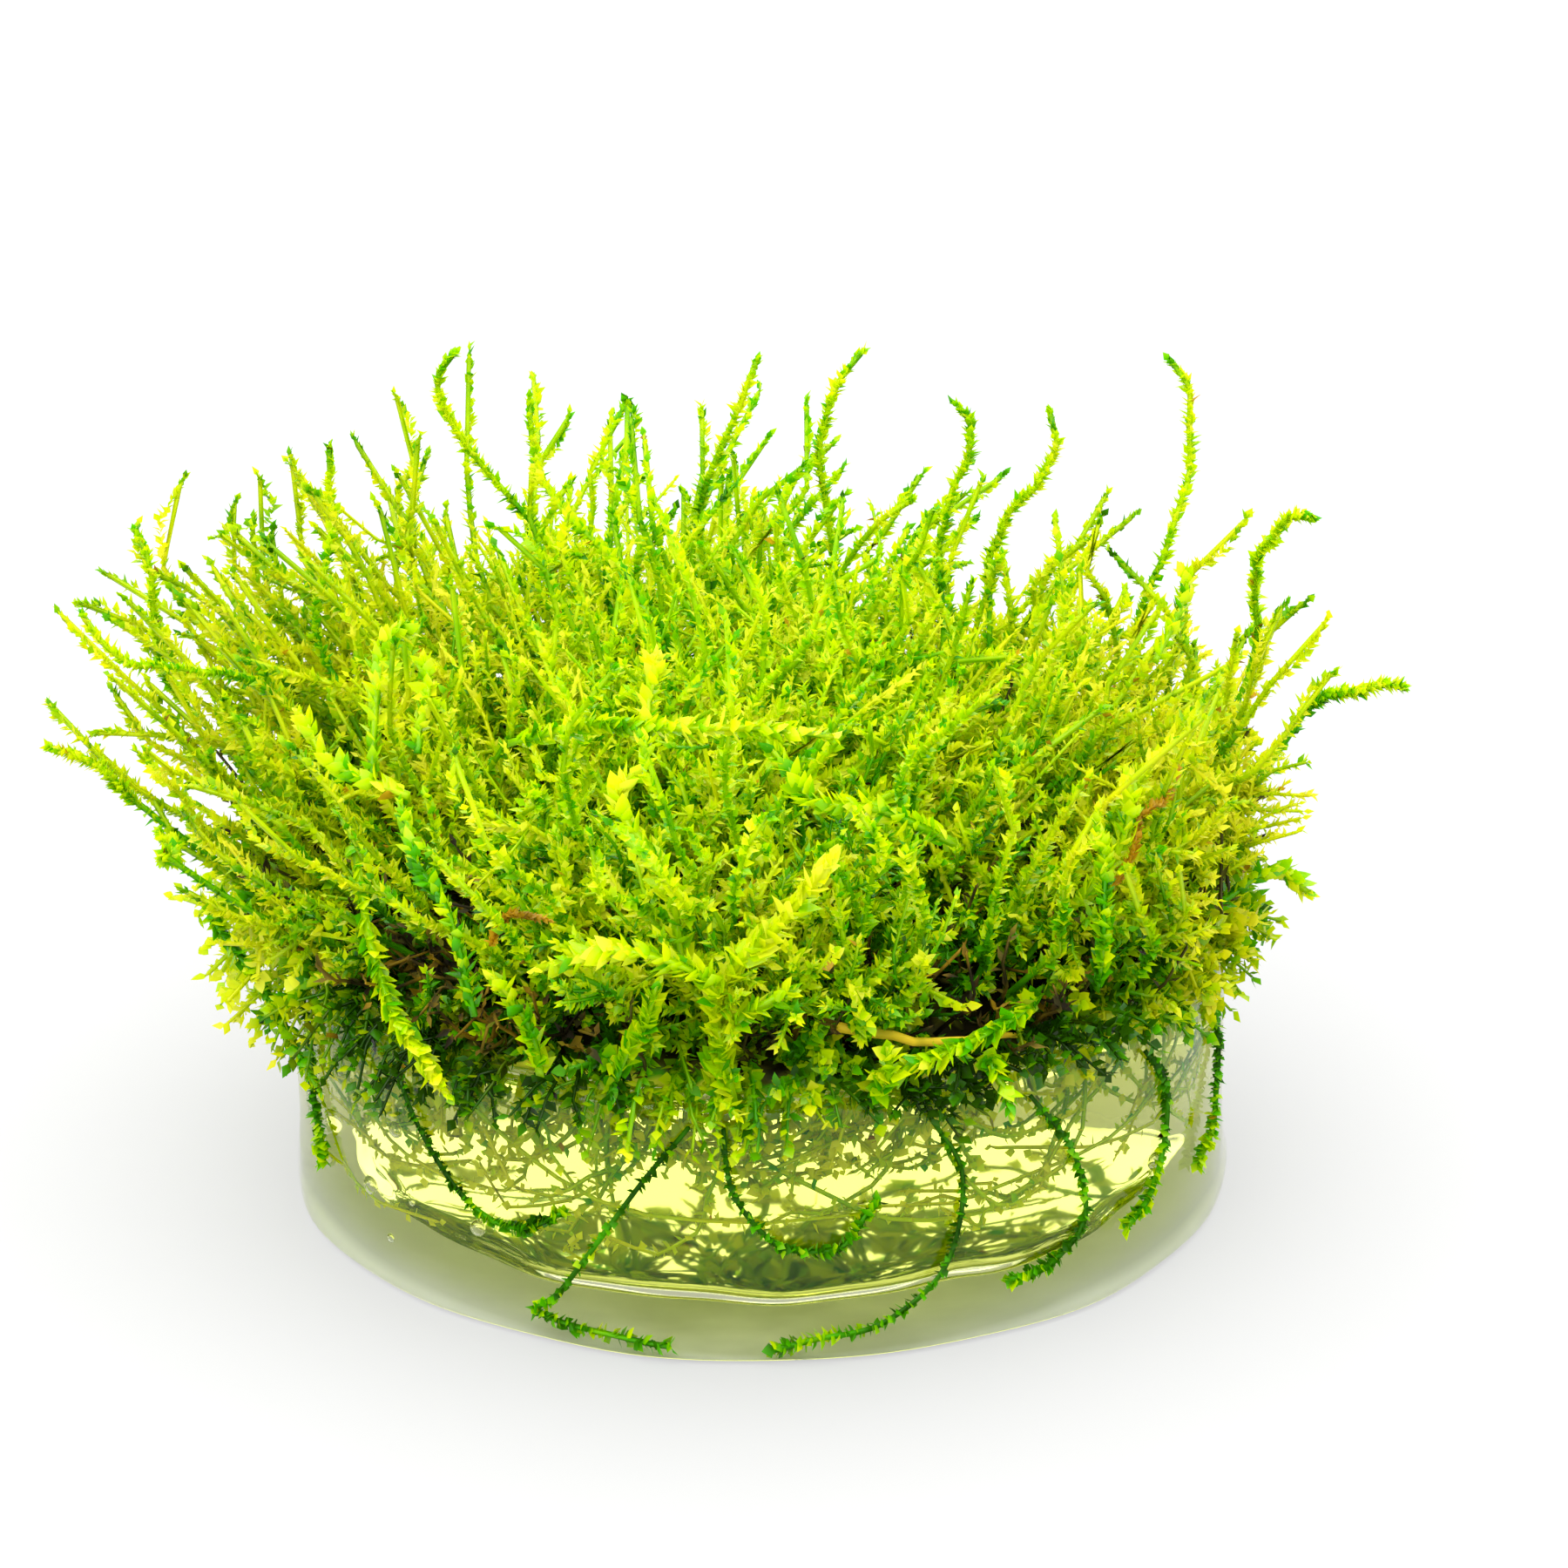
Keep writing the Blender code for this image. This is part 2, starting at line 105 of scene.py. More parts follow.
# Flow of the live moss, as in the CAD source
FOOT_CLEAR = 1.0
ROOT_RADIUS = 33.0
CENTRE_REACH = 23.0
LEAN_POWER = 0.85
RISE = 0.45
SWAY = 1.7
SWAY_IN_X = (0.13, 0.21)
SWAY_IN_Y = (0.15, -0.19)
DIRECTIONS_DEG = (0, 45, 90, 135, 180, 225, 270, 315)  # right, back right, back ... front right
RIM_LEAN_DEG = (26, 36, 44, 60, 66, 64, 40, 40)
RIM_REACH = (23, 19, 21, 26, 21, 20, 21, 19)
RIM_HANG = (3.2, 2.0, 1.0, 2.0, 3.5, 2.5, 0.8, 2.2)

# Tufts: rings of cells, as in the CAD source
TUFT_RINGS = ((0.0, 1, 0.0), (9.4, 6, 12.0), (18.8, 12, 3.0), (28.2, 17, 8.0))
CELL_HALF = 4.7
SHOOTS_PER_TUFT = 4
SHOOT_END = (1.14, 1.38)
SHOOT_AWAY_START = 0.3
SHOOT_AWAY_END = (0.55, 0.72)

# Long shoots, as in the CAD source: foot (radius, azimuth in degrees), tip (x, y, z), direction at the tip
LONG_SHOOTS = (
    ((33.0, 188), (-51, -5, 34.5), (-1, 0, 0.05)),
    ((23.5, 188), (-48, -7, 46), (-0.3, 0, 1)),
    ((33.0, 166), (-47, 10, 45.5), (-0.5, 0.2, 1)),
    ((23.5, 167), (-32, 15, 51.5), (-0.3, 0.1, 1)),
    ((14.2, 129), (-22.5, 16, 57.5), (0.8, 0.1, 0.5)),
    ((4.8, 162), (-17.5, 10, 57), (0.1, 0, 1)),
    ((14.2, 99), (0, 18, 57.5), (0.3, 0.1, 1)),
    ((14.2, 68), (7.5, 20, 57), (1, 0.2, 0.5)),
    ((14.2, 39), (14.5, 15, 55), (-0.5, 0, 1)),
    ((23.4, 50), (22.5, 24, 51), (0, 0.2, 1)),
    ((23.4, 16), (30, 10, 59), (-0.8, 0, 0.7)),
    ((32.9, 19), (40.5, 5, 48.5), (0.9, 0, -0.4)),
    ((32.9, 355), (46, -4, 39), (1, 0, 0.3)),
    ((33.1, 204), (-42.5, -13, 30.5), (-0.7, -0.1, 0.7)),
)
LONG_EXIT = 0.7
LONG_PULL = 1.1

# Runners on the puck's side, as in the CAD source: stops of (azimuth in degrees, height)
RUNNERS = (
    ((196, 18), (200, 15), (203, 10), (205, 6.5)),
    ((222, 18), (226, 14), (233, 9.5), (240, 8), (246, 10)),
    ((262, 18), (256, 13), (247, 5), (243, 2.2), (250, 1.4), (260, 1.3)),
    ((266, 18), (267, 13), (272, 9), (279, 8.5), (284, 12)),
    ((290, 18), (294, 13), (292, 6.5), (285, 2.8), (277, 2), (272, 1.2)),
    ((303, 18), (309, 13), (312, 7.5), (307, 4.5), (300, 3.8)),
    ((322, 18), (327, 14), (325, 8), (318, 5)),
    ((340, 18), (343, 14), (341, 9), (336, 5.5)),
)
RUNNER_CLEAR = 0.35  # of a runner's middle line from the gel
RUNNER_LOWEST = 0.02

# Large shoots that lie on the clump's front: leaf length, tone at the tip, and stops (x, y, z), foot to tip
FRONT_SHOOTS = (
    (1.8, 0.95, ((-3.1, -34.5, 20.5), (-3, -38, 27), (-1.8, -40.5, 32.4), (1.7, -42, 36.4),
                 (5.2, -42.5, 41.9))),
    (1.6, 0.9, ((-5.2, -37, 31), (-5.8, -38, 36.7), (-6.9, -39, 40.2), (-9.4, -37.5, 43.3),
                (-8, -35.5, 45.4))),
    (1.3, 0.8, ((-17.3, -26, 43.2), (-11.8, -30, 46.1), (-7.8, -32, 46.6), (-1, -33, 46.8),
                (4.9, -31, 45.4))),
    (1.5, 0.8, ((13.5, -33, 38.6), (7.9, -35, 42.1), (3.6, -35, 43), (0, -33, 46.2))),
    (1.4, 0.9, ((-7.8, -34, 45), (-7.4, -30, 48.9), (-7, -28, 50.6))),
    (1.6, 0.85, ((-1.7, -36, 20.5), (-2.9, -39, 27.6), (-3.7, -41, 31.8), (-9.8, -41, 33.8),
                 (-15.4, -38, 31))),
    (1.5, 0.75, ((-9.8, -36.5, 22.5), (-8.7, -38, 25.8), (-7.4, -39.5, 28.2), (-6.8, -40.5, 31.5))),
    (1.5, 0.75, ((-2.5, -38.5, 26.8), (-0.5, -40, 28.9), (2.4, -41, 31.6))),
    (1.5, 0.8, ((-15, -36, 22.6), (-15.7, -37, 26.7), (-18.4, -36, 30.5))),
    (1.4, 0.8, ((-27.2, -22, 38.4), (-26.9, -19, 44), (-26.2, -15, 46.7), (-24.3, -14, 47.4))),
    (1.5, 0.9, ((-24.5, -24, 38.5), (-30.2, -20.5, 39.7), (-32.7, -18, 42.4))),
    (1.3, 0.7, ((-23.9, -22, 41), (-23.2, -17, 46.3))),
    (1.2, 0.75, ((28.5, -8, 42.5), (30.3, -5, 46), (30.5, -4, 47.9))),
    (1.4, 0.6, ((-27, -20, 24.5), (-32.5, -17, 21.5), (-36, -15, 17.3))),
    (1.3, 0.55, ((-32, -9, 25.5), (-39.6, -8, 22.9), (-36.2, -13, 19.4), (-31.5, -20, 14))),
    (1.4, 0.7, ((20, -26, 24.5), (17, -34, 25.5), (12, -37.5, 24.5), (8, -37.5, 23.4))),
    (1.5, 0.75, ((8, -33.5, 20.8), (8.4, -37.5, 22.4), (8.9, -38.5, 25.5))),
    (1.5, 0.7, ((16.5, -31, 21.2), (16.2, -34.5, 22.6), (17.5, -36, 20))),
    (1.5, 0.8, ((22, -26, 31), (25, -27, 36), (25.5, -26, 40.5))),
    (1.4, 0.7, ((32, -12, 24.5), (37, -10, 27), (39.6, -9, 25))),
    (1.4, 0.75, ((-29, -17, 34), (-27, -26, 27.1), (-24.4, -31, 23.9), (-21.2, -34.5, 20.6))),
    (1.2, 0.6, ((-19.5, -36, 27), (-21.3, -34.5, 33.7), (-23.6, -31, 36.6), (-25.4, -26, 39))),
    (1.2, 0.6, ((23.7, -28, 25.5), (24, -31, 31), (24.2, -30, 35.1), (23.8, -28, 37.8))),
)
DEAD_SHOOTS = (  # leaf length and stops
    (0.7, ((24.5, -28, 33.1), (26.1, -27.5, 35.6), (26.6, -26, 37.6), (28.7, -24, 38.9), (29.4, -22, 40.8))),
    (0.6, ((-18.4, -36, 32.3), (-17.4, -37.5, 34.6), (-16.2, -38, 35.4), (-14.2, -37, 34.2))),
)
FACING_CAMERA = (0.0, -0.93, 0.37)

# Dead woody sliver, stuck in the mat's front edge and lying on the fringe: stops (x, y, z)
SLIVER = ((18.5, -27, 21.6), (16, -31.8, 23.6), (11, -34.6, 24.6), (5.4, -34.8, 25.4))

# Places on the mat: x, y and radius, then what they change
BARE_SPOTS = (  # the live shoots stay short and their leaves darker, painted shade, and the dark old growth shows
    (-21.5, -23, 9),
    (-20, -13, 6),
    (-13.5, -28, 4.5),
    (13.5, -25.5, 8.5),
    (17, -29, 6),
)
ROTTEN_RIM = (12.5, -31.5, 7.5)  # the rim itself is black and rotted
HEIGHT_CHANGES = (  # the thicket stands lower or higher than the even dome, by this share
    (11, 9, 8, -0.4),
    (9, 26, 9, -0.4),
    (25, 8, 11, -0.3),
    (37, -2, 14, -0.4),
    (-2, 12, 7, 0.1),
    (-24, 6, 9, 0.08),
)
THIN_SPOTS = (  # shoots stand far apart, and this share of them is missing
    (27, 12, 13, 0.6),
    (11, 12, 7, 0.55),
    (8, 30, 10, 0.4),
    (-6, 18, 15, 0.3),
    (-33, -9, 8, 0.45),
)
COMBED_SPOT = (-35, 3, 15)  # shoots run side by side, with few branches
COMBED_THIN = 0.42  # share of them that is missing there
BARE_DROP = 0.75  # share of their height that shoots lose in the middle of a bare spot

# Shoots of a tuft
PATH_POINTS = 11
JITTER = 0.9  # of half of the square that a shoot stands in
TALL_SHARE = 0.09  # of a tuft's shoots, which stand out past the thicket of the others
TALL_ENDS = (0.92, 1.14)  # of the flow's reach, for the tall shoots
LOW_ENDS = (0.6, 0.9)  # and for the others
CORNER_DROP = 0.08  # share of its height that a shoot at the side of its cell loses
LEAD_SHARES = np.array([1.0, 0.78, 1.0, 0.85])  # of the solid's four spikes that the lead shoots fill
FEWEST_LEFT = 1  # the first shoot of a tuft always stands
CLUMPING = 1.6  # millimetres that neighbouring shoots are drawn together by
FRONT_DEPTH = 32  # a shoot this far in front of the middle is wholly a front shoot
NEAR_SHARE = 0.35  # a tuft whose shoots are on average more of a front shoot than this has finer leaves
SIDE_START = 0.15  # share of the side's reach where its olive begins
SIDE_REACH = 34
SIDE_OLD = 0.18  # share of dead tissue in the leaves at the clump's left and right, which makes them olive
BRANCH_LENGTHS = (2.0, 6.5)
TIP_PULL_X = (-26, 0, 20, 30)  # from the clump's left to its right
TIP_PULLS = np.array([(-3, 0, 0.5), (4.5, 0, -2), (4.5, 0, -2), (0.5, 0, 2)])  # how far the tips bend there

# Stems in the gel: where strands start, how far they hang down, and where all of them stay inside the gel
STRAND_RADII = (28.0, 33.4)
STRAND_TOPS = (16.5, 18.6)
STRAND_DROPS = (2.5, 14.0)
STRAND_LOWEST = 1.5
STRAND_OUT = (33.8, 34.0)  # before and after they wander
ROOT_START = 33.4
ROOT_OUT = 33.6
ROOT_DROPS = (1.5, 7.0)

# Rim shoots: how far out the skirt's start, and how far they reach, rise, and droop past where they rose
SKIRT_STARTS = (26.5, 33.0)
SKIRT_REACHES = (3.0, 6.5)
SKIRT_RISES = (1.0, 8.0)
SKIRT_DROPS = (-3.5, 4.0)
LOCK_DROPS = (-0.5, 3.2)

# By direction, from the right round the back
RIM_SHARES = (0.4, 0.8, 1.0, 1.0, 1.1, 1.1, 1.0, 0.6)  # of the rim shoots' full reach
RIM_RAISED = (1.6, 1.2, 0.0, -0.5, -2.2, -1.6, 0.3, 2.6)  # how much higher the rim shoots' tips stand
ROOT_SHARES = (0.25, 0.8, 1.0, 1.0, 1.0, 1.0, 1.0, 0.4)  # of the full depth of the roots in the gel
SHOOTS_PER_LOCK = 7

# Points of a leaf: share of the length, share of the half width to the right, and share of the cup that
# raises it. The first two leaves are fans round a raised middle; the far leaf is folded along its middle
FINE_EDGE = [(0, 0.25, 0), (0.3, 1, 0), (0.66, 0.66, 0), (1, 0, 0), (0.66, -0.66, 0), (0.3, -1, 0)]
FINE = np.array(FINE_EDGE + [(0.48, 0, 1)]), np.array([(6, k, (k + 1) % 6) for k in range(6)])
PLAIN_EDGE = [(0, 0, 0), (0.38, 1, 0), (1, 0, 0), (0.38, -1, 0)]
PLAIN = np.array(PLAIN_EDGE + [(0.45, 0, 1)]), np.array([(4, k, (k + 1) % 4) for k in range(4)])
FAR = np.array([(0, 0, 0), (0.4, 1, -1), (1, 0, 0), (0.4, -1, -1)]), np.array([(0, 1, 2), (0, 2, 3)])

# Kinds of shoots: how many leaves a shoot has, their length, where along the shoot they begin, their half
# width as a share of their length, how far they lean out at the foot and the tip, how far they scatter from
# two rows (radians), and the stem's radius at foot and tip
NEAR_SHOOT = {"leaf": FINE, "width": 0.3, "spread_deg": (46, 18), "stem": (0.22, 0.2)}
FAR_SHOOT = {"leaf": FAR, "width": 0.24, "spread_deg": (46, 16), "flat": 0.9, "stem": (0.2, 0.18)}
HIGH_SHOOT = {"per_shoot": 150, "width": 0.33, "spread_deg": (44, 16), "flat": 1.0, "stem": (0.27, 0.24)}
HIGH_SHOOT["dark_tip"] = 0.35
LONG_SHOOT = {**HIGH_SHOOT, "leaf": FAR, "per_shoot": 280, "first": 0.1, "stem": (0.27, 0.25)}
BRANCH = {"per_shoot": 24, "first": 0.06, "width": 0.22, "spread_deg": (48, 18), "flat": 0.7}
BRANCH["stem"] = (0.17, 0.14)
FRONT_SHOOT = {"leaf": FINE, "first": 0.02, "width": 0.36, "spread_deg": (34, 14), "flat": 0.5, "taper": 0.45}
OLD_STALK = {"per_shoot": 9, "width": 0.2, "flat": 1.2}
RIM_LOCK = {"per_shoot": 26, "length": 1.1, "first": 0.05, "width": 0.4, "spread_deg": (54, 26), "flat": 0.8}
SKIRT = {"leaf": FINE, "per_shoot": 40, "first": 0.1, "width": 0.4, "spread_deg": (54, 26), "flat": 0.8}
SKIRT["stem"] = (0.24, 0.2)
STRAND = {"per_shoot": 32, "length": 0.8, "first": 0.05, "width": 0.45, "spread_deg": (60, 40), "flat": 1.2}
STRAND["stem"] = (0.22, 0.16)
ROOT = {"per_shoot": 14, "length": 1.1, "first": 0.02, "width": 0.42, "flat": 1.2, "stem": (0.22, 0.14)}
RUNNER = {"per_shoot": 160, "length": 0.6, "first": 0.05, "width": 0.5, "spread_deg": (54, 36), "flat": 1.2}
RUNNER.update(grow=0.7, stem=(0.2, 0.26))
SLIVER_STEM = (0.18, 0.38)

# Sizes of patterns, in millimetres
LEAF_CELLS = 0.22  # real cells are a tenth of this, too fine to show
LEAF_PATCHES = 5.0
OLD_PATCHES = 3.0
GEL_WAVES = 6.0
CONTACT_CLOUDS = 9.0
TABLE_GRAIN = 60.0

# Wetted underside: distances over which its colour changes; these changes are painted light
PAINTED_RIM_LIGHT_SPAN = (33.2, GEL_RADIUS + FOOT_FLARE)  # from the middle, over which the face turns paler towards the foot's edge: painted light
PAINTED_RIM_LIGHT_SOONER = (1.07, 1.0, 1.0)  # the painted rim light begins further in at the left and right
PAINTED_SIDE_LIGHT_SPAN = (6.0, 30.0)  # to the left and right, over which the face turns pale grey: painted light
PAINTED_BACKLIGHT_DEPTH = 22.0  # towards the back, over which the face turns see-through: painted back light
PAINTED_BACKLIGHT_SHARE = 0.8  # of the glowing table that shows through there, as painted back light

# Stage, in metres; the camera is worked out from the ellipse of the puck's foot in the photograph
CAMERA_TARGET = (0.001743, 0.0, 0.03)
CAMERA_DISTANCE = 0.48
CAMERA_PITCH_DEG = 21.5
CAMERA_LENS = 149.4
SENSOR = 36.0
CLIP = (0.01, 20.0)
FLOOR_DROP = 0.0003
FLOOR_HALF = 4.0
SKY_FULL = 0.8  # sine of the elevation from which the sky has its full strength
LIGHT_TARGET = (0.0, 0.0, 0.03)
BACK_LIGHT = ((0.0, 0.2, 0.85), 1.0)  # place, side of the square
FRONT_LIGHT = ((-0.25, -0.6, 0.7), 0.8)


def hex_colour(code):
    """Linear RGBA of an sRGB hex code."""
    srgb = np.array([int(code[i : i + 2], 16) / 255 for i in (0, 2, 4)])
    linear = np.where(srgb <= 0.04045, srgb / 12.92, ((srgb + 0.055) / 1.055) ** 2.4)
    return (*(float(c) for c in linear), 1.0)


def unit(vectors):
    """Vectors divided by their lengths."""
    return vectors / np.maximum(np.linalg.norm(vectors, axis=-1, keepdims=True), 1e-9)


def smooth(x):
    """0 below 0, 1 above 1, and 3x² - 2x³ between."""
    x = np.clip(x, 0.0, 1.0)
    return x * x * (3 - 2 * x)


def stacked(*values):
    """Values that broadcast together, side by side on the last axis of one array."""
    return np.stack(np.broadcast_arrays(*values), axis=-1)


def polar(radius, azimuth, height):
    """Points from their distance from the axis, azimuth and height."""
    return stacked(radius * np.cos(azimuth), radius * np.sin(azimuth), height)


# ---- Surfaces and flow that repeat the CAD source ----


def by_direction(values, azimuth):
    """A value that varies smoothly round the clump: each of the eight directions weighs cos² of twice its
    distance."""
    total = 0.0
    for degrees, value in zip(DIRECTIONS_DEG, values):
        away = (azimuth - math.radians(degrees) + math.pi) % FULL_TURN - math.pi
        total = total + np.where(np.abs(away) < math.pi / 4, np.cos(2 * away) ** 2, 0.0) * value
    return total


def gel_top(radius):
    """Height of the gel's hollowed top: a shallow bowl."""
    return GEL_HEIGHT - 0.3 * GEL_EDGE - GEL_DIP * (1 - (radius / GEL_RADIUS) ** 2)


def gel_wall(azimuth, height):
    """Radius of the puck's side: straight, with a soft foot that spreads unevenly, by two sines round it."""
    ragged = FOOT_RAGGED * (np.sin(7 * azimuth + 1) + 0.7 * np.sin(13 * azimuth)) / 1.7
    return GEL_RADIUS + (FOOT_FLARE + ragged) * np.exp(-((height / FOOT_HEIGHT) ** 2))


def mat_top(radius, azimuth):
    """Height of the old growth's top: a low dome with lumps from sines of x and y."""
    x, y = radius * np.cos(azimuth), radius * np.sin(azimuth)
    lumps = MAT_LUMPS * (np.sin(0.31 * x + 1.0) * np.cos(0.36 * y) + 0.6 * np.sin(0.5 * y + 0.33 * x))
    return GEL_HEIGHT + MAT_EDGE + MAT_DOME * (1 - (radius / MAT_RADIUS) ** 2) + lumps


def flow_point(radius, azimuth, s):
    """Where the shoot rooted at radius and azimuth is after share s of its reach: an arc that leans outwards
    more the further out it is rooted, plus a slow sway towards the tips."""
    share = np.minimum(radius / ROOT_RADIUS, 1.1)
    lean = np.radians(by_direction(RIM_LEAN_DEG, azimuth)) * share**LEAN_POWER
    reach = CENTRE_REACH * (1 - share**2) + by_direction(RIM_REACH, azimuth) * share**2
    turn = -RISE * lean * s
    chord = reach * s * np.sinc(turn / FULL_TURN)
    out = radius + chord * np.sin(lean + turn / 2)
    up = mat_top(radius, azimuth) + FOOT_CLEAR + chord * np.cos(lean + turn / 2)
    x, y = out * np.cos(azimuth), out * np.sin(azimuth)
    sway_x = SWAY * s * np.sin(SWAY_IN_X[0] * y + SWAY_IN_X[1] * up)
    sway_y = SWAY * s * np.sin(SWAY_IN_Y[0] * x + SWAY_IN_Y[1] * up + 1.0)
    return np.stack([x + sway_x, y + sway_y, up], axis=-1)


def bell(radius, azimuth, x, y, spread):
    """1 at the place x, y and falling off like a bell round it."""
    away = (radius * np.cos(azimuth) - x) ** 2 + (radius * np.sin(azimuth) - y) ** 2
    return np.exp(-away / spread**2)


def bareness(radius, azimuth):
    """1 in the middle of a bare spot, falling off like a bell."""
    return np.clip(sum(bell(radius, azimuth, *spot) for spot in BARE_SPOTS), 0, 1)


def rottenness(paths):
    """Bareness, with the rotted stretch of the rim added, at the foot of each path."""
    x, y = paths[:, 0, 0], paths[:, 0, 1]
    radius, azimuth = np.hypot(x, y), np.arctan2(y, x)
    return np.clip(bareness(radius, azimuth) + bell(radius, azimuth, *ROTTEN_RIM), 0, 1)


def height_share(radius, azimuth):
    """What the thicket's height is multiplied by: 1, plus each change, falling off like a bell."""
    return 1 + sum(change * bell(radius, azimuth, *place) for *place, change in HEIGHT_CHANGES)


def tip_pull(x):
    """How far the tips of shoots rooted at x bend, by straight interpolation from left to right."""
    return np.stack([np.interp(x, TIP_PULL_X, column) for column in TIP_PULLS.T], axis=-1)[:, None]


def sideways(paths):
    """How far paths end to the left or right: from 0 at the side's start to 1 a whole reach further out."""
    return smooth(np.abs(paths[:, -1, 0]) / SIDE_REACH - SIDE_START)


def cell_root(ring, index, across, along):
    """Root radius and azimuth of a place in a tuft's cell, over which across and along run from -1 to 1."""
    radius, count, turn = TUFT_RINGS[ring]
    if count == 1:
        return CELL_HALF * np.hypot(across, along), np.arctan2(along, across)
    middle = math.radians(turn) + index * FULL_TURN / count
    return radius + CELL_HALF * across, middle + math.pi / count * along


def curve_through(stops, count):
    """Points on a Catmull-Rom curve through the stops, evenly spread over its parameter."""
    stops = np.array(stops, float)
    padded = np.vstack([2 * stops[0] - stops[1], stops, 2 * stops[-1] - stops[-2]])
    where = np.linspace(0, len(stops) - 1 - 1e-9, count)
    k, t = where.astype(int), (where % 1)[:, None]
    a, b, c, d = (padded[k + i] for i in range(4))
    return 0.5 * (2 * b + (c - a) * t + (2 * a - 5 * b + 4 * c - d) * t**2 + (3 * b - a - 3 * c + d) * t**3)


# ---- Shoots: paths, stems and leaves. Paths are arrays (shoot, point, xyz) ----


def along_paths(paths, share):
    """Point and unit direction at each share, 0 to 1, of each path, by straight interpolation."""
    last = paths.shape[1] - 1
    place = np.clip(share, 0.0, 0.9999) * last
    k = place.astype(int)
    t = (place - k)[..., None]
    row = np.arange(len(paths))[:, None]
    direction = unit(np.gradient(paths, axis=1))
    point = paths[row, k] * (1 - t) + paths[row, k + 1] * t
    return point, unit(direction[row, k] * (1 - t) + direction[row, k + 1] * t)


def clump(points, s):
    """Draws shoots together into strands and leaves gaps between: a short sine sway of about 10 mm, more
    towards the tips, the same for all shoots that pass a place."""
    x, y, z = points[..., 0], points[..., 1], points[..., 2]
    push = stacked(
        np.sin(0.55 * x + 0.25 * z + 1.3) + 0.6 * np.sin(0.85 * y - 0.3 * z),
        np.sin(0.6 * y - 0.2 * z + 0.4) + 0.6 * np.sin(0.8 * x + 0.35 * z + 2.0),
        0.5 * np.sin(0.5 * x + 0.45 * y),
    )
    return points + CLUMPING * s[..., None] ** 1.5 * push


def wander(paths, rng, wave, curl, pull=(0.0, 0.0, 0.0)):
    """Adds to each path a slow sine sideways that grows from the foot with a quicker one on it, and a bend of
    the last part that grows with the cube of the share, in one random direction plus the pull."""
    count, points, _ = paths.shape
    t = np.linspace(0, 1, points)[None, :, None]
    phase = rng.uniform(0, FULL_TURN, (count, 1, 3))
    turns = rng.uniform(0.5, 1.5, (count, 1, 1))
    curl = np.reshape(curl, (-1, 1, 1)) * rng.uniform(0, 1.6, (count, 1, 1))
    bend = unit(rng.normal(0, 1, (count, 1, 3)) * [1, 1, 0.5]) * curl
    bend = bend + np.asarray(pull) * rng.uniform(0, 1, (count, 1, 1))
    slow = np.sin(FULL_TURN * turns * t + phase) - np.sin(phase) * (1 - t)
    quick = np.sin(FULL_TURN * 3.1 * turns * t + 2 * phase)
    return paths + wave * t * (slow + 0.3 * quick) + bend * t**3


def branches_of(paths, per_shoot, reach, rng, share=(0.35, 0.95), points=5):
    """Side branches: each leaves its shoot at 30 to 80 degrees, and bends on by a square law in a random
    direction."""
    each = (len(paths), per_shoot)
    foot, along = along_paths(paths, rng.uniform(*share, each))
    side = unit(np.cross(along, rng.normal(0, 1, (*each, 3))))
    lean = np.radians(rng.uniform(30, 80, (*each, 1)))
    length = rng.uniform(*reach, (*each, 1, 1))
    leaving = (along * np.cos(lean) + side * np.sin(lean))[:, :, None]
    bend = (0.35 * along[:, :, None] + rng.normal(0, 0.2, (*each, 1, 3))) - 0.3 * leaving
    t = np.linspace(0, 1, points)[None, None, :, None]
    made = foot[:, :, None] + length * (t * leaving + t**2 * bend)
    return made.reshape(-1, points, 3)


def stems(paths, foot_radius, tip_radius, sides=3):
    """Thin tubes along the paths: rings square to the path, a cap at the foot, a blunt point at the tip."""
    count, points, _ = paths.shape
    along = unit(np.gradient(paths, axis=1))[:, :-1]
    across = unit(np.cross(along, unit(paths[:, -1:] - paths[:, :1]) + np.array([0.31, 0.87, 0.11])))
    other = np.cross(along, across)
    angle = (np.arange(sides) * FULL_TURN / sides)[:, None]
    thick = np.linspace(foot_radius, tip_radius, points - 1)[None, :, None, None]
    middles = paths[:, :-1].copy()
    middles[:, -1] = 0.2 * paths[:, -2] + 0.8 * paths[:, -1]
    round_path = across[:, :, None] * np.cos(angle) + other[:, :, None] * np.sin(angle)
    rings = middles[:, :, None] + thick * round_path
    verts = np.concatenate([rings.reshape(count, -1, 3), paths[:, -1:]], axis=1)
    k = np.arange(sides)
    after = (k + 1) % sides
    row = (np.arange(points - 2) * sides)[:, None]
    bands = [row + k, row + after, row + sides + after], [row + k, row + sides + after, row + sides + k]
    last = (points - 2) * sides
    fan = [np.stack([last + k, last + after, np.full(sides, (points - 1) * sides)], axis=-1)]
    cap = [np.stack([np.zeros(sides - 2, int), k[2:], k[1:-1]], axis=-1)]
    faces = np.concatenate([np.stack(b, axis=-1).reshape(-1, 3) for b in bands] + fan + cap)
    share = np.append(np.repeat(np.linspace(0, 1, points)[:-1], sides), 1.0)
    return verts, faces, np.broadcast_to(share, verts.shape[:2])


def per_path(value, count):
    """A number, or one number a path, as a column with a row for each path."""
    return np.broadcast_to(np.asarray(value, float).reshape(-1, 1), (count, 1))


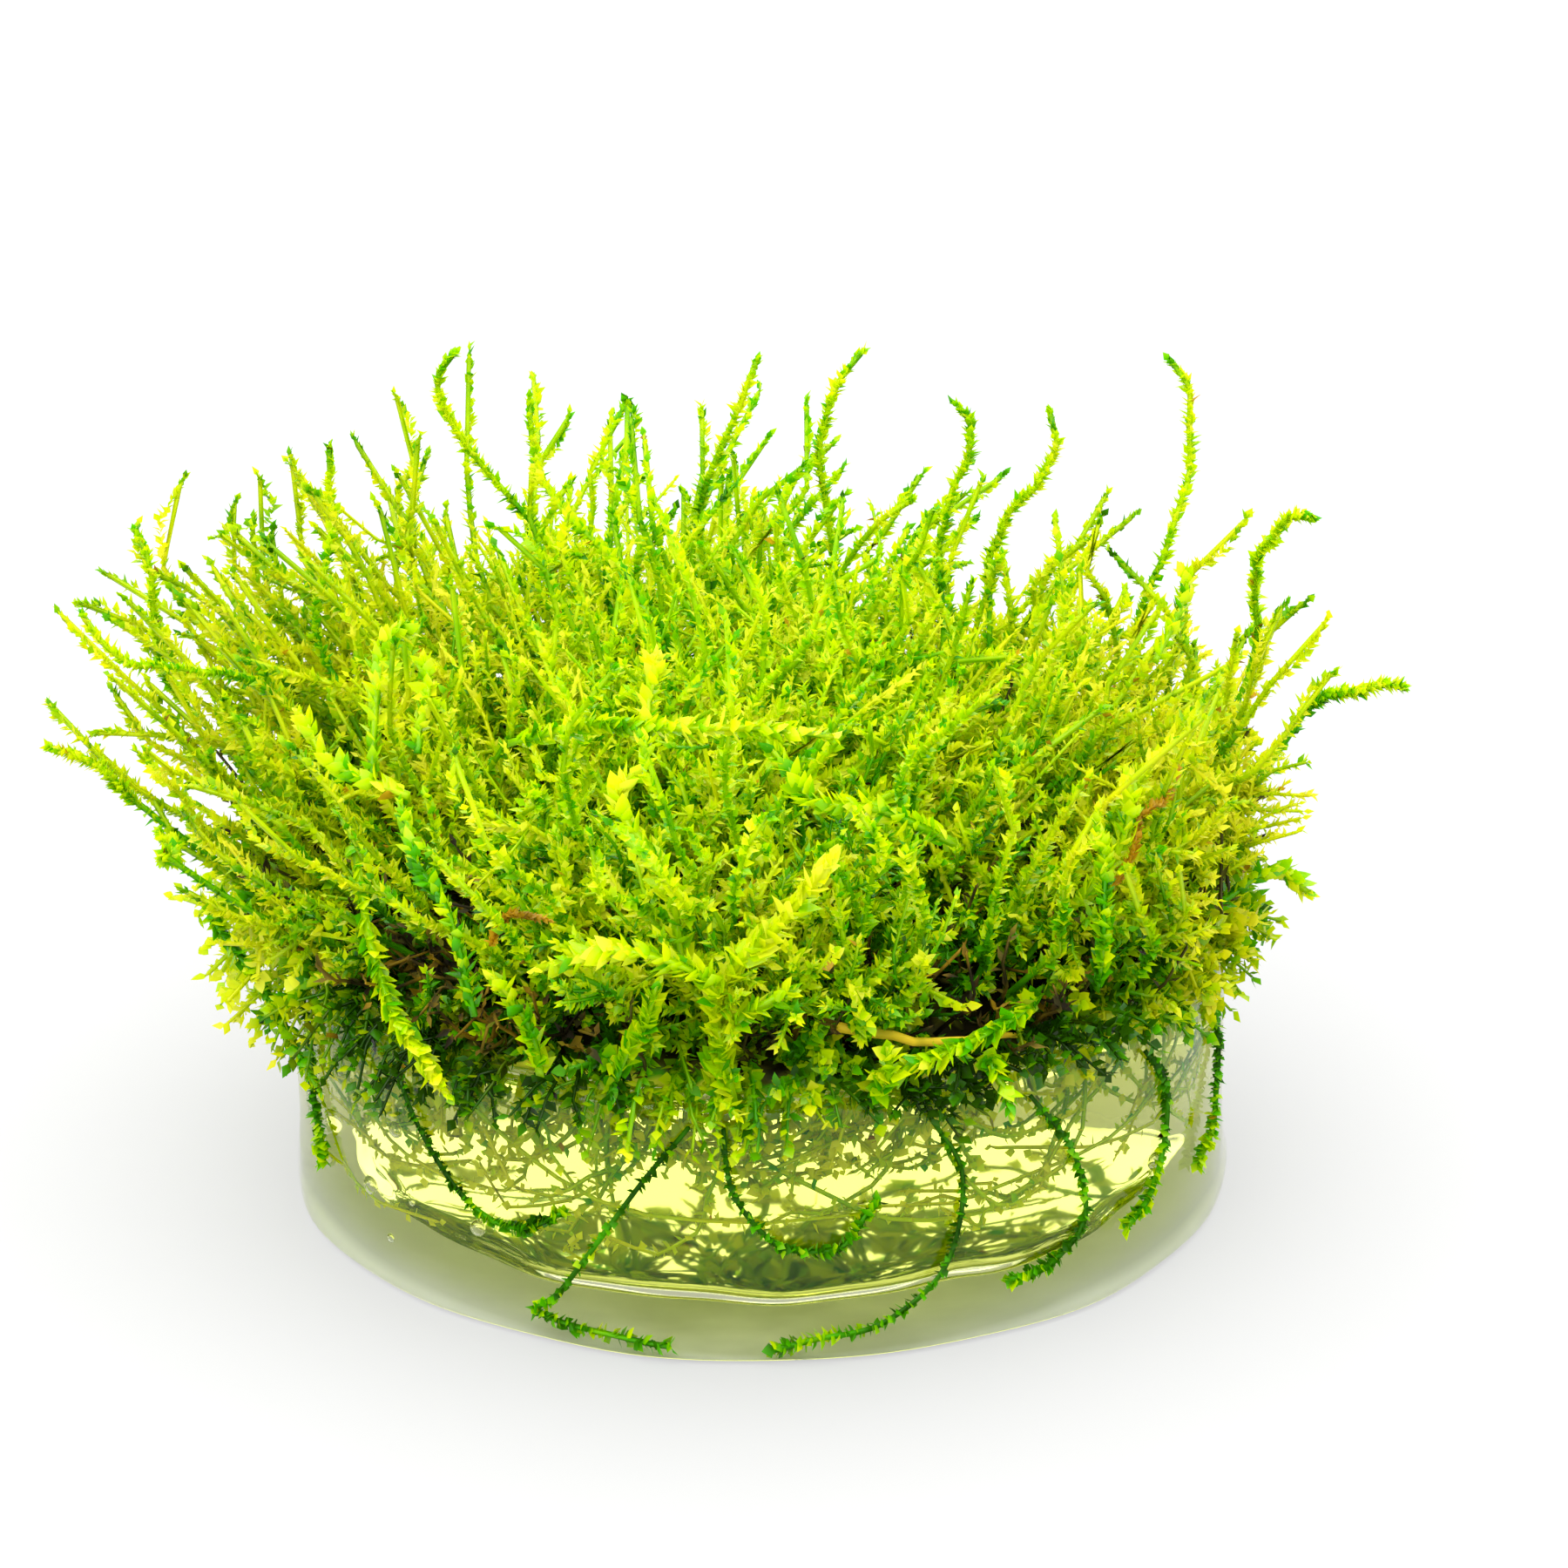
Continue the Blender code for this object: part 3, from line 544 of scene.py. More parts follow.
def leaves(
    paths,
    rng,
    shape,
    per_shoot,
    length,
    first=0.2,
    width=0.19,
    spread_deg=(42, 22),
    facing=None,
    flat=0.4,
    taper=0.1,
    grow=0.0,
):
    """Leaves along the paths, in two rows to left and right that scatter by the spread flat (radians).

    A leaf is a pointed oval: it leaves the stem at an angle that closes towards the tip, its middle is
    pushed out by a cup, and it bends along its length by a square law. facing is the normal of the plane that
    the two rows lie in. The last leaves are smaller by the share taper, and leaves grow along the whole shoot
    by the share grow.
    """
    count = len(paths)
    each = (count, per_shoot)
    order = np.arange(per_shoot)
    first = per_path(first, count)
    share = first + (1 - first) * (order + 0.5 + rng.uniform(-0.35, 0.35, each)) / per_shoot
    foot, along = along_paths(paths, share)
    if facing is None:
        facing = rng.normal(0, 1, (count, 3))
    across = unit(np.cross(along, facing[:, None] + 1e-3))
    other = np.cross(along, across)
    turn = math.pi * (order % 2) + rng.normal(0, flat, each) + 1.2 * (order % 3 == 2)
    outward = across * np.cos(turn)[..., None] + other * np.sin(turn)[..., None]
    closing = smooth((share - 0.86) / 0.14)
    lean = spread_deg[0] + (spread_deg[1] - spread_deg[0]) * closing + rng.normal(0, 9, each)
    lean = np.radians(lean)[..., None]
    forward = along * np.cos(lean) + outward * np.sin(lean)
    back = outward * np.cos(lean) - along * np.sin(lean)
    roll = rng.normal(0, 0.35, each)[..., None]
    side = np.cross(forward, back)
    side, back = side * np.cos(roll) + back * np.sin(roll), back * np.cos(roll) - side * np.sin(roll)
    size = np.reshape(length, (-1, 1)) * rng.uniform(0.75, 1.2, each)
    size = size * (1 - taper * closing + grow * share**2)
    cup = rng.uniform(0.05, 0.16, each)[..., None]
    bend = rng.normal(0.1, 0.15, each)[..., None]
    wide = width * rng.uniform(0.8, 1.2, each)[..., None]
    raised = cup * shape[:, 2] + bend * shape[:, 0] ** 2
    verts = foot[:, :, None] + size[..., None, None] * (
        forward[:, :, None] * shape[:, :1]
        + side[:, :, None] * (wide * shape[:, 1])[..., None]
        + back[:, :, None] * raised[..., None]
    )
    return verts, share


def leafy_shoots(paths, rng, tone, stem=(0.2, 0.13), dead=0.0, dark_tip=0.0, leaf=PLAIN, **of_leaves):
    """Points, triangles and growth values of shoots with their leaves.

    Growth values are (tone, chance, place on the leaf, dead): tone runs from foot to tip between the two
    given values by the power 1.4 and drops by dark_tip in the last tenth, chance is one number a leaf, and
    dead is the share of dead tissue.
    """
    shape, faces = leaf
    count = len(paths)
    tone = np.broadcast_to(np.asarray(tone, float), (count, 2))
    dead, dark_tip = per_path(dead, count), per_path(dark_tip, count)
    stem_verts, stem_faces, stem_share = stems(paths, *stem)
    leaf_verts, share = leaves(paths, rng, shape, **of_leaves)

    def tones(at):
        """Tone at a share of the shoot."""
        return tone[:, :1] + (tone[:, 1:] - tone[:, :1]) * at**1.4 - dark_tip * smooth((at - 0.86) / 0.12)

    stem_growth = stacked(tones(stem_share) + 0.06, 0.4, 0.0, dead)
    chance = np.clip(rng.normal(0.5, 0.2, share.shape), 0, 1)[..., None]
    leaf_dead = (dead + (rng.uniform(0, 1, share.shape) < 0.004))[..., None]
    leaf_growth = stacked(tones(share)[..., None], chance, shape[:, 0], leaf_dead)
    per_stem = stem_verts.shape[1]
    stem_index = np.arange(count)[:, None, None] * per_stem + stem_faces
    leaf_index = np.arange(share.size)[:, None, None] * len(shape) + faces + count * per_stem
    pairs = (stem_verts, leaf_verts, 3), (stem_index, leaf_index, 3), (stem_growth, leaf_growth, 4)
    return [np.concatenate([of_stem.reshape(-1, n), of_leaf.reshape(-1, n)]) for of_stem, of_leaf, n in pairs]


def joined(parts):
    """Several (points, triangles, growth) as one."""
    points, triangles, growth = zip(*parts)
    starts = np.cumsum([0] + [len(p) for p in points[:-1]])
    moved = [t + start for t, start in zip(triangles, starts)]
    return np.concatenate(points), np.concatenate(moved), np.concatenate(growth)


def grid_faces(rows, columns):
    """Triangles of a grid whose columns close round, with a pole before the first row and one after the last.

    Points are numbered row by row, then the low pole, then the high pole.
    """
    k = np.arange(columns)
    after = (k + 1) % columns
    row = (np.arange(rows - 1) * columns)[:, None]
    low, high = rows * columns, rows * columns + 1
    last = (rows - 1) * columns
    return np.concatenate(
        [
            stacked(row + k, row + after, row + columns + after).reshape(-1, 3),
            stacked(row + k, row + columns + after, row + columns + k).reshape(-1, 3),
            stacked(low, after, k),
            stacked(high, last + k, last + after),
        ]
    )


def turned(rows, azimuth, low, high):
    """Points of a closed turned surface: a ring for each row of radii and heights, which are numbers or have
    one value a column, then its low and high poles on the axis."""
    rings = [polar(radii, azimuth, heights) for radii, heights in rows]
    return np.vstack([*rings, [[0, 0, low], [0, 0, high]]])


def in_scene(name, data):
    """A new object of the scene, at the origin and unturned."""
    made = bpy.data.objects.new(name, data)
    bpy.context.scene.collection.objects.link(made)
    return made


def piece(name, points, triangles, growth, look, slot, *nodes):
    """One mesh piece from whole arrays, with its growth values as a colour attribute. It rides on the root
    body and stands for the named CAD nodes."""
    mesh = bpy.data.meshes.new(name)
    mesh.vertices.add(len(points))
    mesh.vertices.foreach_set("co", (np.asarray(points) * MM).astype(np.float32).ravel())
    mesh.loops.add(triangles.size)
    mesh.loops.foreach_set("vertex_index", triangles.astype(np.int32).ravel())
    mesh.polygons.add(len(triangles))
    mesh.polygons.foreach_set("loop_start", np.arange(0, triangles.size, 3, dtype=np.int32))
    mesh.update(calc_edges=True)
    mesh.shade_smooth()
    if growth is not None:
        values = mesh.color_attributes.new("growth", "FLOAT_COLOR", "POINT")
        values.data.foreach_set("color", np.asarray(growth, np.float32).ravel())
    mesh.materials.append(look)
    obj = in_scene(name, mesh)
    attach(obj, "root")
    if nodes:
        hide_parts(*nodes)
    return obj


# ---- Materials ----


def add_node(tree, kind, inputs=None, stops=(), **settings):
    """Adds a node with its settings and, for a colour ramp, its stops (place, linear RGBA). An input's value
    is a node whose first output is linked, a socket to link from, or a plain value."""
    node = tree.nodes.new(kind)
    for name, value in settings.items():
        setattr(node, name, value)
    for name, value in (inputs or {}).items():
        if isinstance(value, bpy.types.Node):
            value = value.outputs[0]
        if isinstance(value, bpy.types.NodeSocket):
            tree.links.new(value, node.inputs[name])
        else:
            node.inputs[name].default_value = value
    if stops:
        elements = node.color_ramp.elements
        while len(elements) < len(stops):
            elements.new(0.5)
        for element, (place, colour) in zip(elements, stops):
            element.position = place
            element.color = colour
    return node


def new_material(name):
    """A material, its empty node tree, and the socket that gives the place on the object."""
    made = bpy.data.materials.new(name)
    made.use_nodes = True
    made.node_tree.nodes.clear()
    return made, made.node_tree, add_node(made.node_tree, "ShaderNodeTexCoord").outputs["Object"]


def wet_leaf(name, colours, dead, patch, roughness, shine, through):
    """Moss leaf, one cell thick and wet: light comes through it as well as off it, with small hard glints.

    colours run from shaded old tissue to the young tips. Each leaf has its own chance of being lighter or
    darker, patches of the given size differ a little, and each leaf is lighter towards its point.
    """
    made, tree, place = new_material(name)
    growth = add_node(tree, "ShaderNodeAttribute", attribute_name="growth")
    parts = add_node(tree, "ShaderNodeSeparateColor", {0: growth}).outputs
    size, cell_size = 1 / (patch * MM), 1 / (LEAF_CELLS * MM)
    patches = add_node(tree, "ShaderNodeTexNoise", {"Vector": place, "Scale": size, "Detail": 2.0})
    cells = add_node(tree, "ShaderNodeTexNoise", {"Vector": place, "Scale": cell_size, "Detail": 1.0})
    level = parts["Red"]
    for value, share in ((parts["Green"], 0.8), (patches, 0.8), (parts["Blue"], 0.12)):
        level = add_node(tree, "ShaderNodeMath", {0: value, 1: share, 2: level}, operation="MULTIPLY_ADD")
    centred = add_node(tree, "ShaderNodeMath", {0: level, 1: 0.835}, operation="SUBTRACT")
    live = add_node(tree, "ShaderNodeValToRGB", {0: centred}, colours)
    rot = add_node(tree, "ShaderNodeMath", {0: parts["Red"], 1: 0.5, 2: patches}, operation="MULTIPLY_ADD")
    old = add_node(tree, "ShaderNodeValToRGB", {0: rot}, dead)
    tissue = {"Factor": growth.outputs["Alpha"], "A": live, "B": old}
    colour = add_node(tree, "ShaderNodeMix", tissue, data_type="RGBA").outputs[2]
    relief = add_node(tree, "ShaderNodeBump", {"Height": cells, "Strength": 0.35, "Distance": 0.05 * MM})
    skin = {"Base Color": colour, "Roughness": roughness, "IOR": 1.4, "Specular IOR Level": shine}
    surface = add_node(tree, "ShaderNodeBsdfPrincipled", {**skin, "Normal": relief})
    glow = add_node(tree, "ShaderNodeBsdfTranslucent", {"Color": colour})
    both = add_node(tree, "ShaderNodeMixShader", {0: through, 1: surface, 2: glow})
    add_node(tree, "ShaderNodeOutputMaterial", {"Surface": both})
    return made


def clear_gel(looks):
    """Agar gel: clear, soft and wet, with a yellow-green cast in depth, and slow waves on its skin that calm
    down on the flat face over the air pocket."""
    made, tree, place = new_material("clear_agar_gel")
    size = 1 / (GEL_WAVES * MM)
    waves = add_node(tree, "ShaderNodeTexNoise", {"Vector": place, "Scale": size, "Detail": 0.0})
    height = add_node(tree, "ShaderNodeSeparateXYZ", {0: place}).outputs["Z"]
    low = {"Value": height, "From Min": (POCKET_HEIGHT + 0.05) * MM, "From Max": 3.0 * MM, "To Min": 0.15}
    calm = add_node(tree, "ShaderNodeMapRange", low)
    swell = add_node(tree, "ShaderNodeMath", {0: waves, 1: calm}, operation="MULTIPLY")
    relief = add_node(tree, "ShaderNodeBump", {"Height": swell, "Strength": 0.4, "Distance": 0.6 * MM})
    skin = {"Base Color": WHITE, "Roughness": 0.03, "IOR": 1.34, "Transmission Weight": 1.0, "Normal": relief}
    surface = add_node(tree, "ShaderNodeBsdfPrincipled", skin)
    depth = {"Color": looks.gel_depth, "Density": looks.gel_density}
    inside = add_node(tree, "ShaderNodeVolumeAbsorption", depth)
    add_node(tree, "ShaderNodeOutputMaterial", {"Surface": surface, "Volume": inside})
    return made


def wet_contact(looks):
    """The gel's outer underside, wetted to the table: a matt pale face seen through the gel, a little cloudy.
    Painted light: it turns pale grey at the left and right and paler towards the rim where the foot thins
    out, and towards the back it turns see-through, so that the glowing table shows there as painted back
    light."""
    made, tree, place = new_material("wetted_underside")
    size = 1 / (CONTACT_CLOUDS * MM)
    cloud = add_node(tree, "ShaderNodeTexNoise", {"Vector": place, "Scale": size, "Detail": 3.0})
    stops = ((0.3, looks.contact_dark), (0.7, looks.contact_pale))
    colour = add_node(tree, "ShaderNodeValToRGB", {0: cloud}, stops)
    wide = add_node(tree, "ShaderNodeVectorMath", {0: place, 1: PAINTED_RIM_LIGHT_SOONER}, operation="MULTIPLY")
    out = add_node(tree, "ShaderNodeVectorMath", {0: wide}, operation="LENGTH").outputs["Value"]
    across = add_node(tree, "ShaderNodeSeparateXYZ", {0: place}).outputs
    aside = add_node(tree, "ShaderNodeMath", {0: across["X"]}, operation="ABSOLUTE")
    # Painted light: pale grey towards the left and right, and paler towards the foot's edge
    tints = (aside, PAINTED_SIDE_LIGHT_SPAN, looks.contact_side_painted_light), (out, PAINTED_RIM_LIGHT_SPAN, looks.contact_rim_painted_light)
    for distance, (none, full), tint in tints:
        span = {"Value": distance, "From Min": none * MM, "From Max": full * MM}
        share = add_node(tree, "ShaderNodeMapRange", span)
        mixed = {"Factor": share, "A": colour, "B": tint}
        colour = add_node(tree, "ShaderNodeMix", mixed, data_type="RGBA").outputs[2]
    surface = add_node(tree, "ShaderNodeBsdfPrincipled", {"Base Color": colour, "Roughness": 0.9})
    # Painted back light: towards the back the face turns partly see-through to the glowing table
    film = add_node(tree, "ShaderNodeBsdfTransparent")
    behind = {"Value": across["Y"], "From Max": PAINTED_BACKLIGHT_DEPTH * MM, "To Max": PAINTED_BACKLIGHT_SHARE}
    share = add_node(tree, "ShaderNodeMapRange", behind)
    both = add_node(tree, "ShaderNodeMixShader", {0: share, 1: surface, 2: film})
    add_node(tree, "ShaderNodeOutputMaterial", {"Surface": both})
    return made


def matt_table(looks):
    """White acrylic table, sanded matt and lit softly from below: a pale, even ground with hardly a grain."""
    made, tree, place = new_material("matt_white_table")
    size = 1 / (TABLE_GRAIN * MM)
    grain = add_node(tree, "ShaderNodeTexNoise", {"Vector": place, "Scale": size, "Detail": 2.0})
    pale = looks.floor_colour
    dim = tuple(0.985 * c for c in pale[:3]) + (1.0,)
    colour = add_node(tree, "ShaderNodeValToRGB", {0: grain}, ((0.3, dim), (0.7, pale)))
    face = {"Base Color": colour, "Roughness": 0.95, "Specular IOR Level": 0.1}
    face.update({"Emission Color": WHITE, "Emission Strength": looks.floor_glow})
    surface = add_node(tree, "ShaderNodeBsdfPrincipled", face)
    add_node(tree, "ShaderNodeOutputMaterial", {"Surface": surface})
    return made


# ---- Settings ----


def colour_setting(name, description, code):
    """A colour property from an sRGB hex code."""
    kind = {"size": 4, "subtype": "COLOR", "min": 0.0, "max": 1.0}
    return FloatVectorProperty(name=name, description=description, default=hex_colour(code), **kind)


class MossSizes(bpy.types.PropertyGroup):
    """Sizes and counts of the moss."""

    small_leaf: FloatProperty(
        name="Small leaf", description="Leaf length at the back and the top", default=0.92 * MM, unit="LENGTH"
    )
    large_leaf: FloatProperty(
        name="Large leaf", description="Leaf length low at the front", default=1.05 * MM, unit="LENGTH"
    )
    shoots_across: IntProperty(
        name="Shoots across a tuft", description="Shoots stand in a square of this many a side", default=5
    )
    leaves_per_shoot: IntProperty(name="Leaves a shoot", description="On a shoot's outer part", default=60)
    branches_per_shoot: IntProperty(name="Branches", description="Side branches of a shoot", default=4)
    gel_strands: IntProperty(name="Strands in the gel", description="Stems grown into the gel", default=150)
    gel_roots: IntProperty(
        name="Roots in the gel", description="Short stems that hang from the gel's top", default=480
    )
    bubbles: IntProperty(name="Bubbles", description="Air bubbles near the gel's side", default=16)


class MossLooks(bpy.types.PropertyGroup):
    """Colours of the moss, the gel and the stage."""

    leaf_shade: colour_setting("Leaf in shade", "Oldest live leaves, deep in the clump", "286000")
    leaf_low: colour_setting("Low leaf", "Leaves on the lower half of a shoot", "56BA00")
    leaf_mid: colour_setting("Leaf", "Most leaves", "C8E800")
    leaf_young: colour_setting("Young leaf", "Leaves near the tips", "E6EC0C")
    leaf_tip: colour_setting("Tip", "The last leaves of a shoot", "EEF23C")
    dead_dark: colour_setting("Dead, dark", "Rotted leaves and stems", "2B2008")
    dead_pale: colour_setting("Dead, pale", "Dry dead leaves", "CCA018")
    old_dark: colour_setting("Old growth, dark", "Old stems in the mat", "211C0D")
    old_pale: colour_setting("Old growth, pale", "Lighter old stems in the mat", "5A5A1A")
    gel_depth: colour_setting("Gel in depth", "Tint that depth gives the gel", "F8FE00")
    gel_density: FloatProperty(name="Gel density", description="Absorption a metre", default=24.0)
    contact_dark: colour_setting("Underside, dark", "Darker parts of the wetted underside", "BFC59C")
    contact_pale: colour_setting("Underside, pale", "Paler parts of the wetted underside", "DEE2C0")
    # Painted light on the wetted underside: the pale grey of its sides and its pale rim
    contact_side_painted_light: colour_setting("Underside, sides", "The wetted underside at the left and right", "E2E4F0")
    contact_rim_painted_light: colour_setting("Underside, rim", "The wetted underside where the foot thins out", "F6F8F8")
    floor_colour: colour_setting("Floor", "Matt pale table", "808080")
    floor_glow: FloatProperty(
        name="Floor glow", description="Light that comes up through the white acrylic table", default=0.45
    )
    sky_strength: FloatProperty(name="Sky", description="Strength of the white sky above", default=2.5)
    horizon_strength: FloatProperty(name="Horizon", description="Strength of the sky low down", default=1.2)
    back_power: FloatProperty(
        name="Back light", description="Power of the soft light behind and above", default=5.0, unit="POWER"
    )
    front_power: FloatProperty(
        name="Front light", description="Power of the soft light in front", default=5.0, unit="POWER"
    )


def leaf_material(looks, wet=False):
    """Live leaves: deep yellow-green that glows where light comes through them. Low at the front a film of
    water makes them glint more. Made at its first use."""
    shades = looks.leaf_shade, looks.leaf_low, looks.leaf_mid, looks.leaf_young, looks.leaf_tip
    colours = tuple(zip((0.0, 0.28, 0.55, 0.8, 1.0), shades))
    dead = ((0.6, looks.dead_dark), (0.85, looks.dead_pale))
    name = "dripping_moss_leaf" if wet else "aquatic_moss_leaf"
    roughness, shine = (0.2, 0.4) if wet else (0.3, 0.2)
    made = bpy.data.materials.get(name)
    return made or wet_leaf(name, colours, dead, LEAF_PATCHES, roughness, shine, 0.5)


def old_material(looks):
    """Old growth: brown and blackish wet stems and leaves, with some dull green left."""
    # The top stop, the bright tip colour, is where the mat's underside lands: painted light
    colours = ((0.0, looks.old_dark), (0.5, looks.old_pale), (0.8, looks.leaf_low), (1.0, looks.leaf_tip))
    dead = ((0.55, looks.old_dark), (1.0, looks.dead_pale))
    return wet_leaf("rotting_moss", colours, dead, OLD_PATCHES, 0.5, 0.15, 0.15)


# ---- Pieces ----


def cad_tuft(ring, index, rng):
    """The stretch of a tuft's solid and the paths of its four spikes. The first and third draws stand for
    values that only the CAD source uses."""
    rng.uniform(0, 1)
    stretch = rng.uniform(0.9, 1.08)
    rng.uniform(size=(4, 6))
    first = rng.uniform(0, FULL_TURN)
    draws = [(rng.uniform(*SHOOT_END), rng.uniform(*SHOOT_AWAY_END)) for _ in range(SHOOTS_PER_TUFT)]
    end, away = np.hsplit(np.array(draws), 2)
    direction = (first + np.arange(SHOOTS_PER_TUFT) * FULL_TURN / SHOOTS_PER_TUFT)[:, None]
    t = np.linspace(0, 1, PATH_POINTS)
    away = SHOOT_AWAY_START + (away - SHOOT_AWAY_START) * t
    radius, azimuth = cell_root(ring, index, away * np.cos(direction), away * np.sin(direction))
    shown = LEAD_SHARES[:, None] * np.minimum(0.5 + 0.5 * height_share(radius[:, -1:], azimuth[:, -1:]), 1)
    return stretch, flow_point(radius, azimuth, end * shown * t)


def tuft_shoots(ring, index, cad_rng, rng, sizes):
    """One tuft: shoots on a jittered square over its cell, shorter towards the cell's corners, with side
    branches, and high shoots: its tall ones and four lead shoots along the solid's spikes. Also tells whether
    the tuft is near the front."""
    stretch, leads = cad_tuft(ring, index, cad_rng)
    n = sizes.shoots_across + (ring == len(TUFT_RINGS) - 1)
    count = n * n
    grid = (np.arange(n) + 0.5) * 2 / n - 1
    across, along = (g.ravel() for g in np.meshgrid(grid, grid, indexing="ij"))
    across = across + rng.uniform(-JITTER, JITTER, count) / n
    along = along + rng.uniform(-JITTER, JITTER, count) / n
    radius, azimuth = cell_root(ring, index, across, along)
    bare, combed = bareness(radius, azimuth), bell(radius, azimuth, *COMBED_SPOT)
    tall = rng.uniform(0, 1, count) < TALL_SHARE + 0.5 * combed
    end = np.where(tall, rng.uniform(*TALL_ENDS, count), rng.uniform(*LOW_ENDS, count))
    end = end * stretch * (1.0 - CORNER_DROP * (across**2 + along**2))
    end = end * (1 - BARE_DROP * bare) * height_share(radius, azimuth)
    s = -0.05 + (end[:, None] + 0.05) * np.linspace(0, 1, PATH_POINTS)
    crossing = rng.normal(0, 5.0, count) * (1 - 0.8 * combed) / np.maximum(radius, 9)
    main = flow_point(radius[:, None], azimuth[:, None] + crossing[:, None] * np.maximum(s, 0) ** 1.5, s)
    pull = tip_pull(main[:, 0, 0]) * end[:, None, None] ** 2
    curl = 3.4 * end * (1 - 0.7 * combed)
    main = wander(clump(main, np.maximum(s, 0)), rng, wave=1.7, curl=curl, pull=pull)
    leads = wander(leads, rng, wave=1.4, curl=3.0, pull=tip_pull(leads[:, 0, 0]))
    thin = sum(share * bell(radius, azimuth, *place) for *place, share in THIN_SPOTS) + COMBED_THIN * combed
    alive = (bare < rng.uniform(0.3, 1.12, count)) & (thin < rng.uniform(0, 1, count))
    high = np.concatenate([leads, main[alive & (tall | (combed > 0.3))]])
    alive = alive & ~tall & (combed < 0.3) | (np.arange(count) < FEWEST_LEFT)
    main, bare, combed = main[alive], bare[alive], combed[alive]
    front = smooth(-main[:, :, 1].mean(axis=1) / FRONT_DEPTH)
    near = front.mean() > NEAR_SHARE
    length = (sizes.small_leaf + (sizes.large_leaf - sizes.small_leaf) * front) / MM
    sides = sideways(main)
    # Painted light: shoots towards the back are paler by 0.07 times their distance from the front, for the
    # back light's glow. Painted shade: live shoots in bare spots are darker by 0.3. Shoots are also paler at
    # the left and right.
    pale = 0.05 + 0.07 * (1 - front) - 0.3 * bare + 0.08 * sides
    tone = stacked(0.13 + pale, 0.74 + rng.normal(0, 0.12, len(main)) + pale)
    look, leaf = (NEAR_SHOOT, PLAIN) if near else (FAR_SHOOT, FAR)
    per_shoot = sizes.leaves_per_shoot if near else int(1.5 * sizes.leaves_per_shoot)
    old = SIDE_OLD * np.maximum(sides, 0.5 * front)
    look = {**look, "per_shoot": per_shoot, "length": length, "first": rng.uniform(0.12, 0.3, len(main))}
    shoots = leafy_shoots(main, rng, tone, dead=old, dark_tip=0.08 * (1 - front), **look)
    sides = sideways(high)[:, None]
    tone = np.array([0.2, 0.7]) + 0.08 * sides
    look = {**HIGH_SHOOT, "leaf": leaf, "length": sizes.small_leaf / MM}
    high = leafy_shoots(high, rng, tone, dead=SIDE_OLD * sides, **look)
    per = sizes.branches_per_shoot
    side = branches_of(main, per, BRANCH_LENGTHS, rng)
    kept = rng.uniform(0, 1, len(side)) > 0.85 * np.repeat(combed, per)
    # pale carries the painted back glow and the painted shade of the bare spots on to the branches
    length, pale, old = (np.repeat(value, per)[kept] for value in (0.9 * length, pale, old))
    tone = stacked(0.3 + pale, 0.62 + pale + rng.normal(0, 0.12, len(pale)))
    branches = leafy_shoots(side[kept], rng, tone, dead=old, leaf=leaf, length=length, **BRANCH)
    return joined([shoots, high, branches]), near


def long_path(foot, tip, tip_direction, low=6, free=18):
    """Up the flow for its first part, then a cubic Hermite curve to the tip, as in the CAD source."""
    radius, azimuth = foot[0], math.radians(foot[1])
    start_part = flow_point(radius, azimuth, LONG_EXIT * np.linspace(0, 1, low))
    start, tip = start_part[-1], np.array(tip)
    leaving = unit(start - flow_point(radius, azimuth, LONG_EXIT - 0.02))
    arriving = unit(np.array(tip_direction))
    pull = LONG_PULL * np.linalg.norm(tip - start)
    t = np.linspace(0, 1, free + 1)[1:, None]
    curve = (
        (2 * t**3 - 3 * t**2 + 1) * start
        + (t**3 - 2 * t**2 + t) * pull * leaving
        + (3 * t**2 - 2 * t**3) * tip
        + (t**3 - t**2) * pull * arriving
    )
    return np.vstack([start_part, curve])


def strand_paths(count, rng):
    """Stems inside the gel: each starts under the rim, hangs down near the side and swings round to one side,
    then wanders, and is pushed back in where it would leave the gel."""
    t = np.linspace(0, 1, 12)
    one = (count, 1)
    azimuth = rng.uniform(0, FULL_TURN, one) + np.radians(rng.normal(0, 28, one)) * t**1.5
    top = rng.uniform(*STRAND_TOPS, one)
    drop = rng.uniform(*STRAND_DROPS, one)
    height = top - drop * (1 - (1 - t) ** 1.6) + rng.uniform(0, 0.8, one) * drop * t**3
    radius = rng.uniform(*STRAND_RADII, one) + rng.normal(0, 1.2, one) * t
    radius = np.minimum(radius + 0.4 * np.sin(9 * t + rng.uniform(0, 6, one)), STRAND_OUT[0])
    paths = wander(polar(radius, azimuth, np.maximum(height, STRAND_LOWEST)), rng, wave=1.3, curl=0.3)
    inside = np.minimum(1.0, STRAND_OUT[1] / np.hypot(paths[..., 0], paths[..., 1]))
    return paths * stacked(inside, inside, 1.0)


def root_paths(count, rng):
    """Short stems that hang into the gel from its top, all over it, and lean outwards."""
    t = np.linspace(0, 1, 7)
    one = (count, 1)
    start = ROOT_START * np.sqrt(rng.uniform(0.55, 1.0, one))
    azimuth = rng.uniform(0, FULL_TURN, one) + rng.normal(0, 0.12, one) * t
    radius = np.minimum(start + rng.uniform(-3.0, 4.0, one) * t, ROOT_OUT)
    drop = rng.uniform(*ROOT_DROPS, one) * by_direction(ROOT_SHARES, azimuth)
    height = gel_top(start) - 0.3 - drop * t ** rng.uniform(0.6, 1.6, one)
    return wander(polar(radius, azimuth, height), rng, wave=0.8, curl=0.6)


